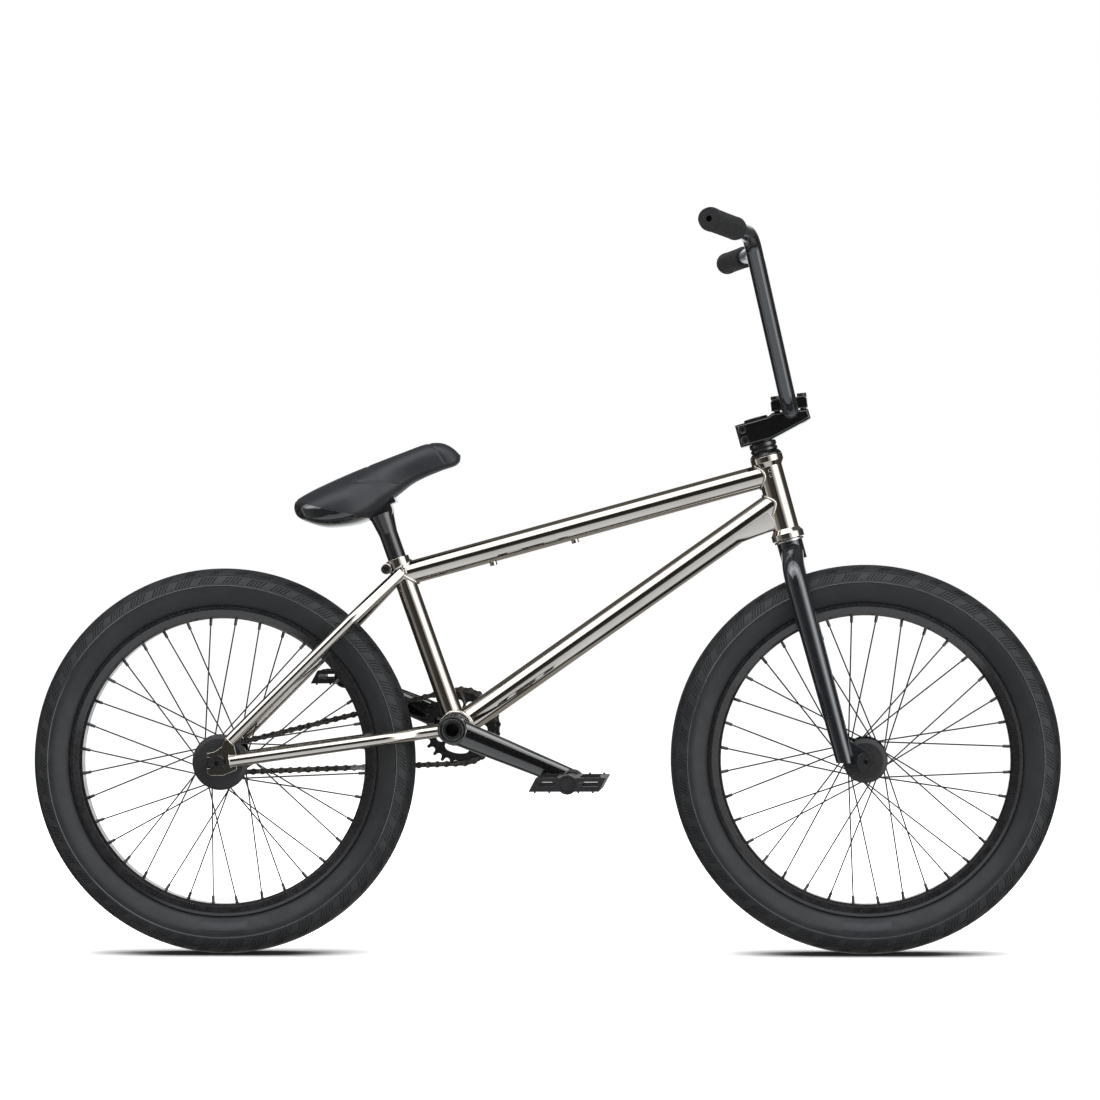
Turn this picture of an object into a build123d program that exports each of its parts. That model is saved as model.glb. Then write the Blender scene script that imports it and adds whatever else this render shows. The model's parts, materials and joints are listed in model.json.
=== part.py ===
from build123d import *

# Freestyle bicycle with 20 inch wheels, left-hand drive and no brakes.
# Millimetres. +X is forward, +Y is the rider's left (the drive side), +Z is up.
# The origin is on the ground, midway between the axles, on the centre plane.

import os
from math import asin, atan2, cos, degrees, hypot, pi, radians, sin, sqrt, tan

# ---- driving dimensions -------------------------------------------------------------------
WHEELBASE = 870.0
TYRE_RADIUS = 262.0
TYRE_HALF_WIDTH = 30.2
AXLE_HEIGHT = TYRE_RADIUS
REAR_X = -WHEELBASE / 2
FRONT_X = WHEELBASE / 2
BB_HEIGHT = 306.0

HEAD_ANGLE = radians(75.0)
HEAD_TUBE_LENGTH = 115.0
FORK_LENGTH = 313.5
FORK_OFFSET = 20.6
SEAT_TUBE_ANGLE = radians(70.6)
SEAT_TUBE_TOP = 244.0
TOP_TUBE_AT_SEAT_TUBE = 220.5
TOP_TUBE_AT_HEAD = 91.0
DOWN_TUBE_AT_HEAD = 52.6

SEAT_TUBE_R = 14.3
SEAT_POST_R = 12.7
SEAT_PIVOT = 311.7
SEAT_TILT = radians(22.7)
TOP_TUBE_R = 16.0
DOWN_TUBE_R = 17.5
HEAD_TUBE_R = 18.0
HEAD_FLARE_R = 22.25
BB_SHELL_R = 23.0
BB_HALF_WIDTH = 34.0
TUBE_WALL = 1.3
WELD_GAP = 0.05
STEERER_R = 14.3

CHAIN_PITCH = 12.7
CHAIN_LINKS = 68
CHAIN_Y = 45.0
SPROCKET_TEETH = 25
DRIVER_TEETH = 9
ROLLER_R = 3.875
TOOTH_SEAT_R = 4.0

CRANK_LENGTH = 175.0
CRANK_ANGLE = radians(-22.5)
CRANK_INNER = 51.5
CRANK_OUTER = 77.0
CRANK_MID = 66.5
SPINDLE_R = 12.0
PEDAL_INNER = 87.0
PEDAL_OUTER = 190.0
PEDAL_LENGTH = 92.0
PEDAL_HALF_HEIGHT = 9.0
PEDAL_SLANT = 4.8

BAR_R = 11.1
BAR_BORE = 9.1
BAR_CLAMP_FORWARD = 48.0
BAR_CLAMP_UP = 51.0
BAR_LEAN = radians(12.3)
BAR_RISE = 225.5
BAR_HALF_WIDTH = 370.0
GRIP_LENGTH = 135.0
GRIP_R = 15.5

REAR_DROPOUT_INNER = 55.0
REAR_DROPOUT_OUTER = 61.0
FRONT_DROPOUT_INNER = 50.0
FRONT_DROPOUT_OUTER = 56.0
SPOKE_R = 1.0
SPOKE_PCD_R = 25.0
SPOKE_ELBOW = 3.4
FLANGE_R = 27.8
FLANGE_HALF = 1.3
SPOKES_PER_WHEEL = 36
FRONT_VALVE = 10
REAR_VALVE = 4
RIM_INNER_R = 194.0
RIM_OUTER_R = 210.0

# Details of the head tube, seat clamp and cable bosses.
GYRO_HOLE_UPS = (95.0, 88.0)
GYRO_HOLE_FORWARD = 0.0
GYRO_HOLE_R = 1.65
BEARING_BORE_R = 20.65
CABLE_BOSS_AT = (123.0, 238.0)
CABLE_BOSS_R = 5.0
CABLE_BOSS_HEIGHT = 4.5
CABLE_BOLT_R = 2.1
CLAMP_LUG_BACK = -18.0
CLAMP_LUG_UP = SEAT_TUBE_TOP - 9.0
CLAMP_LUG_R = 7.0
CLAMP_LUG_HALF = 12.0
CLAMP_BOLT_R = 3.0

# Bottom bracket and stays.
BB_BEARING_R = 20.5
STAY_R = 8.5
STAY_BORE = 7.3
SEATSTAY_R = 8.0
SEATSTAY_BORE = 6.8
STAY_BEND = 40.0
STAY_END_Y = 58.0
DROPOUT_SLOT_R = 7.2

# Seat.
SADDLE_R = 17.5
SADDLE_HALF = 12.0
SEAT_BOLT_R = 4.0
BASE_TOP = 38.0
BASE_PLATE = 4.0

# Fork, stem and handlebar.
FORK_LEG_R = 15.0
FORK_TIP_R = 11.8
FORK_WALL = 1.6
FORK_BEND = 34.0
CLAMP_LEAN = radians(8.5)
STEM_HALF = 24.0
PINCH_UPS = (28.0, 43.0)
PINCH_BACK = -21.0
CLAMP_BOLT_SPOTS = ((-18.0, 15.0), (-18.0, -15.0), (17.5, 15.0), (17.5, -15.0))
BAR_UPPER_BEND = 158.0
BAR_LOWER_BEND = 52.0
BAR_SWEEP = radians(12.2)
BAR_BEND = 34.0

# Pedals.
PEDAL_THREAD_R = 7.1
PEDAL_SHAFT_R = 6.0
PEDAL_WINDOW = 25.0
PEDAL_BOSS_R = 12.8

# Chain links.
PLATE_R = 4.3
PLATE = 1.15
INNER_HALF = 1.75
PIN_R = 1.8
PIN_HALF = 4.7

BOTTOM = (Align.CENTER, Align.CENTER, Align.MIN)
SIDES = (1, -1)


# ---- frames of reference ------------------------------------------------------------------
HEAD_UP = Vector(-cos(HEAD_ANGLE), 0, sin(HEAD_ANGLE))
HEAD_FORWARD = Vector(sin(HEAD_ANGLE), 0, cos(HEAD_ANGLE))
FRONT_AXLE = Vector(FRONT_X, 0, AXLE_HEIGHT)
REAR_AXLE = Vector(REAR_X, 0, AXLE_HEIGHT)
HEAD_BOTTOM = FRONT_AXLE - HEAD_FORWARD * FORK_OFFSET + HEAD_UP * FORK_LENGTH
HEAD = Plane(HEAD_BOTTOM, x_dir=HEAD_FORWARD, z_dir=HEAD_UP)
HEAD_TOP = HEAD_BOTTOM + HEAD_UP * HEAD_TUBE_LENGTH
STEM = Plane(HEAD_TOP, x_dir=HEAD_FORWARD, z_dir=HEAD_UP)


def chain_point(distance, centre_gap):
    """Point on the chain's pitch line, in a plane whose x axis joins the two shafts.

    The driver is at the origin and the sprocket at x = centre_gap. The line starts at the
    sprocket's top tangent point and runs forward round the sprocket.
    """
    big = CHAIN_PITCH / (2 * sin(pi / SPROCKET_TEETH))
    small = CHAIN_PITCH / (2 * sin(pi / DRIVER_TEETH))
    lean = asin((big - small) / centre_gap)
    straight = sqrt(centre_gap**2 - (big - small) ** 2)
    big_arc = big * (pi + 2 * lean)
    small_arc = small * (pi - 2 * lean)
    distance = distance % (big_arc + small_arc + 2 * straight)
    if distance < big_arc:
        angle = pi / 2 + lean - distance / big
        return (centre_gap + big * cos(angle), big * sin(angle))
    distance -= big_arc
    if distance < straight:
        start = (centre_gap + big * cos(pi / 2 + lean), -big * sin(pi / 2 + lean))
        return (start[0] - distance * cos(lean), start[1] + distance * sin(lean))
    distance -= straight
    if distance < small_arc:
        angle = -pi / 2 - lean - distance / small
        return (small * cos(angle), small * sin(angle))
    distance -= small_arc
    start = (small * cos(pi / 2 + lean), small * sin(pi / 2 + lean))
    return (start[0] + distance * cos(lean), start[1] + distance * sin(lean))


def chain_length(centre_gap):
    big = CHAIN_PITCH / (2 * sin(pi / SPROCKET_TEETH))
    small = CHAIN_PITCH / (2 * sin(pi / DRIVER_TEETH))
    lean = asin((big - small) / centre_gap)
    straight = sqrt(centre_gap**2 - (big - small) ** 2)
    return big * (pi + 2 * lean) + small * (pi - 2 * lean) + 2 * straight


def next_roller(distance, centre_gap):
    """Distance along the pitch line of the roller one pitch, as a chord, further on."""
    here = chain_point(distance, centre_gap)
    low = distance + CHAIN_PITCH * 0.9
    high = distance + CHAIN_PITCH * 1.2
    for _ in range(40):
        middle = (low + high) / 2
        there = chain_point(middle, centre_gap)
        if hypot(there[0] - here[0], there[1] - here[1]) < CHAIN_PITCH:
            low = middle
        else:
            high = middle
    return (low + high) / 2


def roller_distances(centre_gap):
    distances = [0.0]
    for _ in range(CHAIN_LINKS):
        distances.append(next_roller(distances[-1], centre_gap))
    return distances


def closed_centre_gap():
    """The shaft distance at which the whole number of links closes on itself."""
    low, high = 300.0, 345.0
    for _ in range(40):
        middle = (low + high) / 2
        if roller_distances(middle)[-1] > chain_length(middle):
            low = middle
        else:
            high = middle
    return (low + high) / 2


CENTRE_GAP = closed_centre_gap()
BB = Vector(REAR_X + sqrt(CENTRE_GAP**2 - (BB_HEIGHT - AXLE_HEIGHT) ** 2), 0, BB_HEIGHT)
CHAIN_SLOPE = atan2(BB.Z - AXLE_HEIGHT, BB.X - REAR_X)
SEAT_UP = Vector(-cos(SEAT_TUBE_ANGLE), 0, sin(SEAT_TUBE_ANGLE))
SEAT_FORWARD = Vector(sin(SEAT_TUBE_ANGLE), 0, cos(SEAT_TUBE_ANGLE))
SEAT_AXIS = Plane(BB, x_dir=SEAT_FORWARD, z_dir=SEAT_UP)
PIVOT = BB + SEAT_UP * SEAT_PIVOT
CRANK_DIR = Vector(cos(CRANK_ANGLE), 0, sin(CRANK_ANGLE))


# ---- shape helpers ------------------------------------------------------------------------
def rod(start, end, radius):
    """Solid cylinder from start to end."""
    axis = Vector(end) - Vector(start)
    return Plane(Vector(start), z_dir=axis) * Cylinder(radius, axis.length, align=BOTTOM)


def pipe(start, end, radius, bore):
    """Hollow cylinder from start to end."""
    axis = (Vector(end) - Vector(start)).normalized()
    return rod(start, end, radius) - rod(Vector(start) - axis, Vector(end) + axis, bore)


def cross_rod(centre, y_start, y_end, radius):
    """Cylinder along Y through centre."""
    low, high = sorted((y_start, y_end))
    return rod((centre.X, low, centre.Z), (centre.X, high, centre.Z), radius)


def ring_y(centre, y_start, y_end, radius, bore):
    low, high = sorted((y_start, y_end))
    return cross_rod(centre, low, high, radius) - cross_rod(centre, low - 1, high + 1, bore)


def turned_y(centre, points):
    """Solid of revolution about the Y direction through centre, from (radius, y) points."""
    face = make_face(Polyline(*[(r, y) for r, y in points], close=True))
    return Pos(centre.X, 0, centre.Z) * revolve(face, Axis.Y)


def turned_z(plane, points):
    """Solid of revolution about the plane's normal, from (radius, height) points."""
    face = make_face(Polyline(*[(r, 0, z) for r, z in points], close=True))
    return plane * revolve(face, Axis.Z)


def slab(points, y_start, y_end):
    """Prism along Y on an outline of (x, z) points."""
    face = make_face(Polyline(*[(x, y_start, z) for x, z in points], close=True))
    return extrude(face, amount=y_end - y_start, dir=(0, 1, 0))


def bent_path(points, bend):
    """Straight runs joined by tangent arcs of one radius."""
    edges = []
    start = points[0]
    for before, corner, after in zip(points, points[1:], points[2:]):
        back = (before - corner).normalized()
        ahead = (after - corner).normalized()
        half_turn = radians(back.get_angle(ahead) / 2)
        trim = bend / tan(half_turn)
        middle = (back + ahead).normalized()
        depth = bend / sin(half_turn) - bend
        arc_start = corner + back * trim
        arc_end = corner + ahead * trim
        edges.append(Line(start, arc_start).edge())
        edges.append(ThreePointArc(arc_start, corner + middle * depth, arc_end).edge())
        start = arc_end
    edges.append(Line(start, points[-1]).edge())
    return Wire(edges)


def bent_tube(points, bend, radius, bore):
    """Tube of one diameter along a bent centre line."""
    path = bent_path(points, bend)
    start = Plane(points[0], z_dir=points[1] - points[0])
    return sweep(start * (Circle(radius) - Circle(bore)), path)


def mirrored(shape):
    return mirror(shape, about=Plane.XZ)


def group(*shapes):
    """One node made of several separate solids."""
    solids = []
    for shape in shapes:
        solids += shape.solids()
    return Compound(children=solids)


def head_point(forward, y, up):
    return HEAD.from_local_coords(Vector(forward, y, up))


def save(name, shape):
    export_step(shape, f"parts/{name}.step")


# ---- frame --------------------------------------------------------------------------------
def head_tube_outside(extra=0.0):
    r, flare = HEAD_TUBE_R + extra, HEAD_FLARE_R + extra
    top = HEAD_TUBE_LENGTH
    return turned_z(
        HEAD,
        [(0, 0), (flare, 0), (flare, 7.8), (r, 14), (r, top - 14), (flare, top - 7.8)]
        + [(flare, top), (0, top)],
    )


def gyro_holes():
    """Two tapped holes in the right side of the head tube, for a cable detangler's tab."""
    shapes = []
    for up in GYRO_HOLE_UPS:
        start = head_point(GYRO_HOLE_FORWARD, -HEAD_FLARE_R, up)
        end = head_point(GYRO_HOLE_FORWARD, -10, up)
        shapes.append(rod(start, end, GYRO_HOLE_R))
    return shapes


def head_tube():
    bore = rod(HEAD_BOTTOM - HEAD_UP, HEAD_TOP + HEAD_UP, 15.6)
    seats = rod(HEAD_BOTTOM - HEAD_UP, HEAD_BOTTOM + HEAD_UP * 7.3, BEARING_BORE_R)
    seats += rod(HEAD_TOP - HEAD_UP * 7.3, HEAD_TOP + HEAD_UP, BEARING_BORE_R)
    shape = head_tube_outside() - bore - seats
    for hole in gyro_holes():
        shape -= hole
    return shape


TOP_TUBE_START = BB + SEAT_UP * TOP_TUBE_AT_SEAT_TUBE
TOP_TUBE_END = HEAD_BOTTOM + HEAD_UP * TOP_TUBE_AT_HEAD
DOWN_TUBE_END = HEAD_BOTTOM + HEAD_UP * DOWN_TUBE_AT_HEAD
TOP_TUBE_DIR = (TOP_TUBE_END - TOP_TUBE_START).normalized()
TOP_TUBE_DOWN = Vector(TOP_TUBE_DIR.Z, 0, -TOP_TUBE_DIR.X)


def seat_collar(extra=0.0):
    top = BB + SEAT_UP * (SEAT_TUBE_TOP + extra)
    return rod(top - SEAT_UP * (20 + 2 * extra), top, SEAT_TUBE_R + 1.8 + extra)


def seat_tube_outside(extra=0.0):
    return rod(BB, BB + SEAT_UP * SEAT_TUBE_TOP, SEAT_TUBE_R + extra) + seat_collar(extra)


def top_tube():
    outer = rod(TOP_TUBE_START, TOP_TUBE_END, TOP_TUBE_R)
    for at in CABLE_BOSS_AT:
        foot = TOP_TUBE_START + TOP_TUBE_DIR * at
        tip = foot + TOP_TUBE_DOWN * (TOP_TUBE_R + CABLE_BOSS_HEIGHT)
        outer += rod(foot + TOP_TUBE_DOWN * 10, tip, CABLE_BOSS_R)
    shape = outer - rod(TOP_TUBE_START, TOP_TUBE_END, TOP_TUBE_R - TUBE_WALL)
    for at in CABLE_BOSS_AT:
        foot = TOP_TUBE_START + TOP_TUBE_DIR * at
        shape -= rod(foot, foot + TOP_TUBE_DOWN * (TOP_TUBE_R + 10), CABLE_BOLT_R)
    shape = shape - head_tube_outside(WELD_GAP) - seat_tube_outside(WELD_GAP)
    return shape.solids().sort_by(SortBy.VOLUME)[-1]


def down_tube():
    shape = rod(BB, DOWN_TUBE_END, DOWN_TUBE_R) - rod(BB, DOWN_TUBE_END, DOWN_TUBE_R - TUBE_WALL)
    shape = shape - head_tube_outside(WELD_GAP) - seat_tube_outside(WELD_GAP)
    shape -= rod(TOP_TUBE_START, TOP_TUBE_END, TOP_TUBE_R + WELD_GAP)
    shape -= cross_rod(BB, -50, 50, BB_SHELL_R + WELD_GAP)
    return shape.solids().sort_by(SortBy.VOLUME)[-1]


def gusset():
    """Boxed gusset under the down tube at the head tube."""
    down = (DOWN_TUBE_END - BB).normalized()
    root = DOWN_TUBE_END - down * 132
    corners = [root, DOWN_TUBE_END - down * 20, head_point(-8, 0, 40)]
    corners += [head_point(-8, 0, 19), head_point(-43, 0, 16.5)]
    middle = sum((corner * 0.2 for corner in corners), Vector(0, 0, 0))
    outer = [(p.X, p.Z) for p in corners]
    inner = [(p.X * 0.93 + middle.X * 0.07, p.Z * 0.93 + middle.Z * 0.07) for p in corners]
    shape = slab(outer, -10, 10) - slab(inner, -8.5, 8.5)
    shape = shape - head_tube_outside(WELD_GAP) - rod(BB, DOWN_TUBE_END, DOWN_TUBE_R + WELD_GAP)
    return shape.solids().sort_by(SortBy.VOLUME)[-1]


def clamp_lug_centre():
    return SEAT_AXIS.from_local_coords(Vector(CLAMP_LUG_BACK, 0, CLAMP_LUG_UP))


def seat_tube():
    """Seat tube with its clamp: a thick collar, a lug behind it and a slit through both."""
    top = BB + SEAT_UP * SEAT_TUBE_TOP
    lug = cross_rod(clamp_lug_centre(), -CLAMP_LUG_HALF, CLAMP_LUG_HALF, CLAMP_LUG_R)
    web = SEAT_AXIS * Pos(-10, 0, CLAMP_LUG_UP) * Box(16, 22, 14)
    shape = seat_tube_outside() + lug + web
    shape -= rod(BB - SEAT_UP, top + SEAT_UP, SEAT_POST_R + 0.05)
    shape -= SEAT_AXIS * Pos(-20, 0, SEAT_TUBE_TOP - 12) * Box(28, 2.4, 40)
    shape -= cross_rod(clamp_lug_centre(), -30, 30, CLAMP_BOLT_R + 0.1)
    shape -= cross_rod(BB, -50, 50, BB_SHELL_R + WELD_GAP)
    return shape.solids().sort_by(SortBy.VOLUME)[-1]


def seat_clamp_bolt():
    centre = clamp_lug_centre()
    shape = cross_rod(centre, -CLAMP_LUG_HALF, CLAMP_LUG_HALF, CLAMP_BOLT_R)
    shape += cross_rod(centre, -CLAMP_LUG_HALF - 5, -CLAMP_LUG_HALF, 5)
    shape += cross_rod(centre, CLAMP_LUG_HALF, CLAMP_LUG_HALF + 4, 5)
    socket = Pos(centre.X, -CLAMP_LUG_HALF - 5, centre.Z) * Rot(90, 0, 0)
    return shape - socket * extrude(RegularPolygon(2.9, 6), amount=-3)


def bb_shell():
    shape = ring_y(BB, -BB_HALF_WIDTH, BB_HALF_WIDTH, BB_SHELL_R, BB_BEARING_R - 1.0)
    for side in SIDES:
        shape -= cross_rod(BB, side * 22, side * 40, BB_BEARING_R + 0.03)
    return shape


def chainstay():
    """Left chainstay: inside the sprocket at the bracket, round the tyre, out to the dropout."""
    back = (REAR_AXLE - BB).normalized()
    points = []
    for distance, y in ((10, 25.5), (54, 26.5), (86, 43.2), (CENTRE_GAP - 17, STAY_END_Y)):
        spot = BB + back * distance
        points.append(Vector(spot.X, y, spot.Z))
    return bent_tube(points, STAY_BEND, STAY_R, STAY_BORE) - cross_rod(BB, -50, 50, BB_SHELL_R + WELD_GAP)


SEATSTAY_TOP = BB + SEAT_UP * 224.0
SEATSTAY_END = REAR_AXLE + Vector(16, 0, 30)


def seatstay():
    """Left seatstay: from the seat tube, round the tyre, out to the dropout."""
    along = SEATSTAY_END - SEATSTAY_TOP
    points = []
    for distance, y in ((0, 12.0), (88, 42.5), (along.length, STAY_END_Y)):
        spot = SEATSTAY_TOP + along.normalized() * distance
        points.append(Vector(spot.X, y, spot.Z))
    shape = bent_tube(points, STAY_BEND, SEATSTAY_R, SEATSTAY_BORE) - seat_tube_outside(1.8 + WELD_GAP)
    return shape - rod(TOP_TUBE_START, TOP_TUBE_END, TOP_TUBE_R + WELD_GAP)


def stays(one_side):
    """Both stays of a pair, cleared of the dropout plates."""
    left = (one_side - dropout_plate(WELD_GAP)).solids().sort_by(SortBy.VOLUME)[-1]
    return left, mirrored(left)


def bridge(spot, half, radius):
    """Short cross tube between two stays."""
    return pipe((spot.X, -half, spot.Z), (spot.X, half, spot.Z), radius, radius - 1.2)


def chainstays():
    left, right = stays(chainstay())
    spot = BB + (REAR_AXLE - BB).normalized() * 41
    return group(left, right, bridge(spot, 17.4, 6))


def seatstays():
    left, right = stays(seatstay())
    spot = SEATSTAY_TOP + (SEATSTAY_END - SEATSTAY_TOP).normalized() * 50
    return group(left, right, bridge(spot, 20.6, 5))


def dropout_plate(grow=0.0):
    """Left rear dropout, its axle slot open to the rear."""
    points = [(-14.5, -13), (-10, -17), (8, -17), (20, -12), (26, -9), (26, 10), (22, 26)]
    points += [(20, 31), (10, 31), (6, 22), (-4, 15), (-14.5, 13)]
    outline = [(REAR_X + x, AXLE_HEIGHT + z) for x, z in points]
    return slab(outline, REAR_DROPOUT_INNER - grow, REAR_DROPOUT_OUTER + grow)


def rear_dropouts():
    slot = cross_rod(REAR_AXLE, 50, 70, DROPOUT_SLOT_R)
    slot += Pos(REAR_X - 15, 60, AXLE_HEIGHT) * Box(30, 20, 2 * DROPOUT_SLOT_R)
    left = dropout_plate() - slot
    return group(left, mirrored(left))


# ---- bearings and headset -----------------------------------------------------------------
def headset_outer_races():
    lower = pipe(HEAD_BOTTOM + HEAD_UP * 0.2, HEAD_BOTTOM + HEAD_UP * 7.2, 20.6, 17.6)
    upper = pipe(HEAD_TOP - HEAD_UP * 7.2, HEAD_TOP - HEAD_UP * 0.2, 20.6, 17.6)
    return group(lower, upper)


def headset_inner_races():
    lower = pipe(HEAD_BOTTOM + HEAD_UP * 0.2, HEAD_BOTTOM + HEAD_UP * 7.2, 17.5, 14.35)
    upper = pipe(HEAD_TOP - HEAD_UP * 7.2, HEAD_TOP - HEAD_UP * 0.2, 17.5, 14.35)
    crown = turned_z(HEAD, [(14.35, -3.6), (20, -3.6), (20, -1.2), (17, -0.5), (14.35, 0.1)])
    return group(lower, upper, crown)


def headset_spacers():
    bore = STEERER_R + 0.1
    profile = [(bore, -0.1), (17, -0.1), (17, 0.4), (21.6, 0.4), (21.9, 2), (18.4, 6.4), (bore, 6.4)]
    cover = turned_z(STEM, profile)
    rings = []
    for low, high, radius in ((6.5, 12.3, 18.6), (12.4, 19.8, 18.6)):
        neck = radius - 1.6
        edge = [(bore, low), (neck, low), (radius, low + 1.4), (radius, high - 1.4), (neck, high)]
        rings.append(turned_z(STEM, edge + [(bore, high)]))
    return group(cover, *rings)


def bb_outer_races():
    return group(*[ring_y(BB, side * 22.2, side * 33.8, BB_BEARING_R, 16.3) for side in SIDES])


def bb_spacers():
    """Inner races and the spacer tubes on the crank spindle."""
    bore = SPINDLE_R + 0.03
    races = [ring_y(BB, side * 22.2, side * 34, 16.2, bore) for side in SIDES]
    right = ring_y(BB, -34.1, -CRANK_INNER + 0.1, 15, bore)
    left = ring_y(BB, 34.1, 43.3, 15, bore)
    return group(*races, right, left)


# ---- seat post and seat -------------------------------------------------------------------
SEAT = Plane(
    PIVOT,
    x_dir=(cos(SEAT_TILT), 0, sin(SEAT_TILT)),
    z_dir=(-sin(SEAT_TILT), 0, cos(SEAT_TILT)),
)


def seat_point(forward, left, up):
    return SEAT.from_local_coords(Vector(forward, left, up))


def seat_post():
    """Hollow post with a round head that the seat rocks on, slotted for the seat bolt."""
    low = BB + SEAT_UP * 112
    shape = rod(low, PIVOT - SEAT_UP * 6, SEAT_POST_R)
    flare = Plane(PIVOT - SEAT_UP * 32, z_dir=SEAT_UP)
    shape += flare * Cone(SEAT_POST_R, SADDLE_R - 0.5, 28, align=BOTTOM)
    shape += cross_rod(PIVOT, -SADDLE_HALF, SADDLE_HALF, SADDLE_R)
    shape -= rod(low - SEAT_UP, PIVOT - SEAT_UP * 34, SEAT_POST_R - 2.2)
    shape -= cross_rod(PIVOT, -SADDLE_HALF + 2.8, SADDLE_HALF - 2.8, 11)
    for angle in (-14, -7, 0, 7, 14):
        turn = SEAT_TILT + radians(angle)
        tip = PIVOT + Vector(-sin(turn), 0, cos(turn)) * 30
        shape -= rod(PIVOT, tip, SEAT_BOLT_R + 0.4)
    return shape.solids().sort_by(SortBy.VOLUME)[-1]


def seat_body():
    """Outer form of the whole seat, from rear to nose."""
    stations = [
        (-101, 34, 44, 56, 9), (-90, 56, 26, 60, 11), (-62, 70, 6, 63, 12), (-30, 66, 0, 64, 12),
        (0, 52, 2, 64, 11), (30, 35, 13, 64, 10), (60, 26, 22, 63.5, 9), (92, 23, 25, 61, 9),
        (116, 19, 22, 48, 7), (127, 11, 24, 36, 4),
    ]
    faces = []
    for u, half, low, high, edge in stations:
        place = Plane(SEAT.from_local_coords(Vector(u, 0, 0)), x_dir=(0, 1, 0), z_dir=SEAT.x_dir)
        middle = low + (high - low) * 0.45
        right = [(half * 0.8, low - 1.0), (half, middle)]
        right += [(half * 0.88, high - edge), (half * 0.45, high - edge * 0.2)]
        left = [(-y, w) for y, w in reversed(right)]
        faces.append(place * make_face(Polyline((0, low), *right, (0, high), *left, close=True)))
    return loft(faces, ruled=True)


def base_outline(grow):
    """Plan outline of the seat base, in the seat's own plane."""
    points = [(-88 - grow, 24), (-60, 54 + grow), (-30, 50 + grow), (10, 32 + grow)]
    points += [(50, 15 + grow), (96 + grow, 11)]
    points += [(u, -y) for u, y in reversed(points)]
    return make_face(Polyline(*points, close=True))


def seat_base():
    """Stiff base under the padding, with a hollow saddle that sits on the post's head."""
    plate = extrude(base_outline(0), amount=BASE_PLATE, dir=(0, 0, 1))
    plate = SEAT * Pos(0, 0, BASE_TOP - BASE_PLATE) * plate
    block = SEAT * Pos(0, 0, (BASE_TOP + 3) / 2) * Box(52, 32, BASE_TOP - 3)
    shape = plate + block
    shape -= cross_rod(PIVOT, -20, 20, SADDLE_R + 0.08)
    foot = SEAT.from_local_coords(Vector(0, 0, 5))
    return shape - rod(foot, SEAT.from_local_coords(Vector(0, 0, BASE_TOP + 1)), SEAT_BOLT_R + 0.1)


def seat_bolt():
    """Bolt from the base down through the post head's slot into a barrel nut."""
    shape = rod(seat_point(0, 0, 6.4), seat_point(0, 0, BASE_TOP), SEAT_BOLT_R)
    return shape + rod(seat_point(0, -8.8, 6), seat_point(0, 8.8, 6), 4.5)


def seat_pad():
    """Padding and cover, hollow below where the base sits."""
    cavity = SEAT * Pos(0, 0, -40) * extrude(base_outline(0.6), amount=BASE_TOP + 40.05, dir=(0, 0, 1))
    return (seat_body() - cavity).solids().sort_by(SortBy.VOLUME)[-1]


# ---- fork, stem and bars ------------------------------------------------------------------
def fork_steerer():
    """Steerer tube, from the crown up to just under the stem's top cap."""
    bottom = HEAD_BOTTOM - HEAD_UP * 30
    top = HEAD_TOP + HEAD_UP * 48
    crown = pipe(bottom, HEAD_BOTTOM - HEAD_UP * 3.7, 17.5, 12)
    return crown + pipe(bottom, top, STEERER_R, 12)


def fork_leg():
    """Left leg: bends out of the crown, then runs down as one long taper."""
    shoulder = head_point(-4.5, 46.5, -43)
    tip = head_point(-5.5, 53, -322)
    down = (tip - shoulder).normalized()
    knee = shoulder + down * 24
    bore = FORK_LEG_R - FORK_WALL
    shape = bent_tube([head_point(0, 9, -20), shoulder, knee], FORK_BEND, FORK_LEG_R, bore)
    taper = Plane(knee, z_dir=down)
    length = (tip - knee).length
    shape += taper * Cone(FORK_LEG_R, FORK_TIP_R, length, align=BOTTOM)
    shape -= taper * Cone(bore, FORK_TIP_R - FORK_WALL, length, align=BOTTOM)
    shape -= rod(HEAD_BOTTOM - HEAD_UP * 60, HEAD_BOTTOM + HEAD_UP * 10, 17.5 + WELD_GAP)
    shape -= Pos(FRONT_X, 0, AXLE_HEIGHT - 52) * Box(200, 200, 100)
    return shape.solids().sort_by(SortBy.VOLUME)[-1]


def fork_dropout():
    """Left fork dropout: a teardrop plate with a slot for the axle."""
    tip = FRONT_AXLE
    root = head_point(-4, 0, -292)
    high = head_point(-4, 0, -268)
    low = head_point(-4, 0, -308)
    plate = cross_rod(tip, FRONT_DROPOUT_INNER, FRONT_DROPOUT_OUTER, 12.2)
    forward = (tip - root).normalized()
    side = Vector(-forward.Z, 0, forward.X) * 12.2
    outline = [tip + side, tip - side, low, high]
    plate += slab([(p.X, p.Z) for p in outline], FRONT_DROPOUT_INNER, FRONT_DROPOUT_OUTER)
    slot = cross_rod(tip, 40, 70, 5.1)
    slot += Pos(tip.X, 55, tip.Z) * Rot(0, 15, 0) * Pos(0, 0, -15) * Box(10.2, 30, 30)
    return plate - slot


def fork_legs():
    dropout = fork_dropout()
    leg = fork_leg()
    left = (leg - fork_dropout_grown()).solids().sort_by(SortBy.VOLUME)[-1]
    return group(left, mirrored(left), dropout, mirrored(dropout))


def fork_dropout_grown():
    corners = [head_point(*p) for p in ((40, 0, -330), (-4.2, 0, -330), (-4.2, 0, -264), (40, 0, -300))]
    outline = [(p.X, p.Z) for p in corners]
    return slab(outline, FRONT_DROPOUT_INNER - WELD_GAP, FRONT_DROPOUT_OUTER + WELD_GAP)


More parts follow.
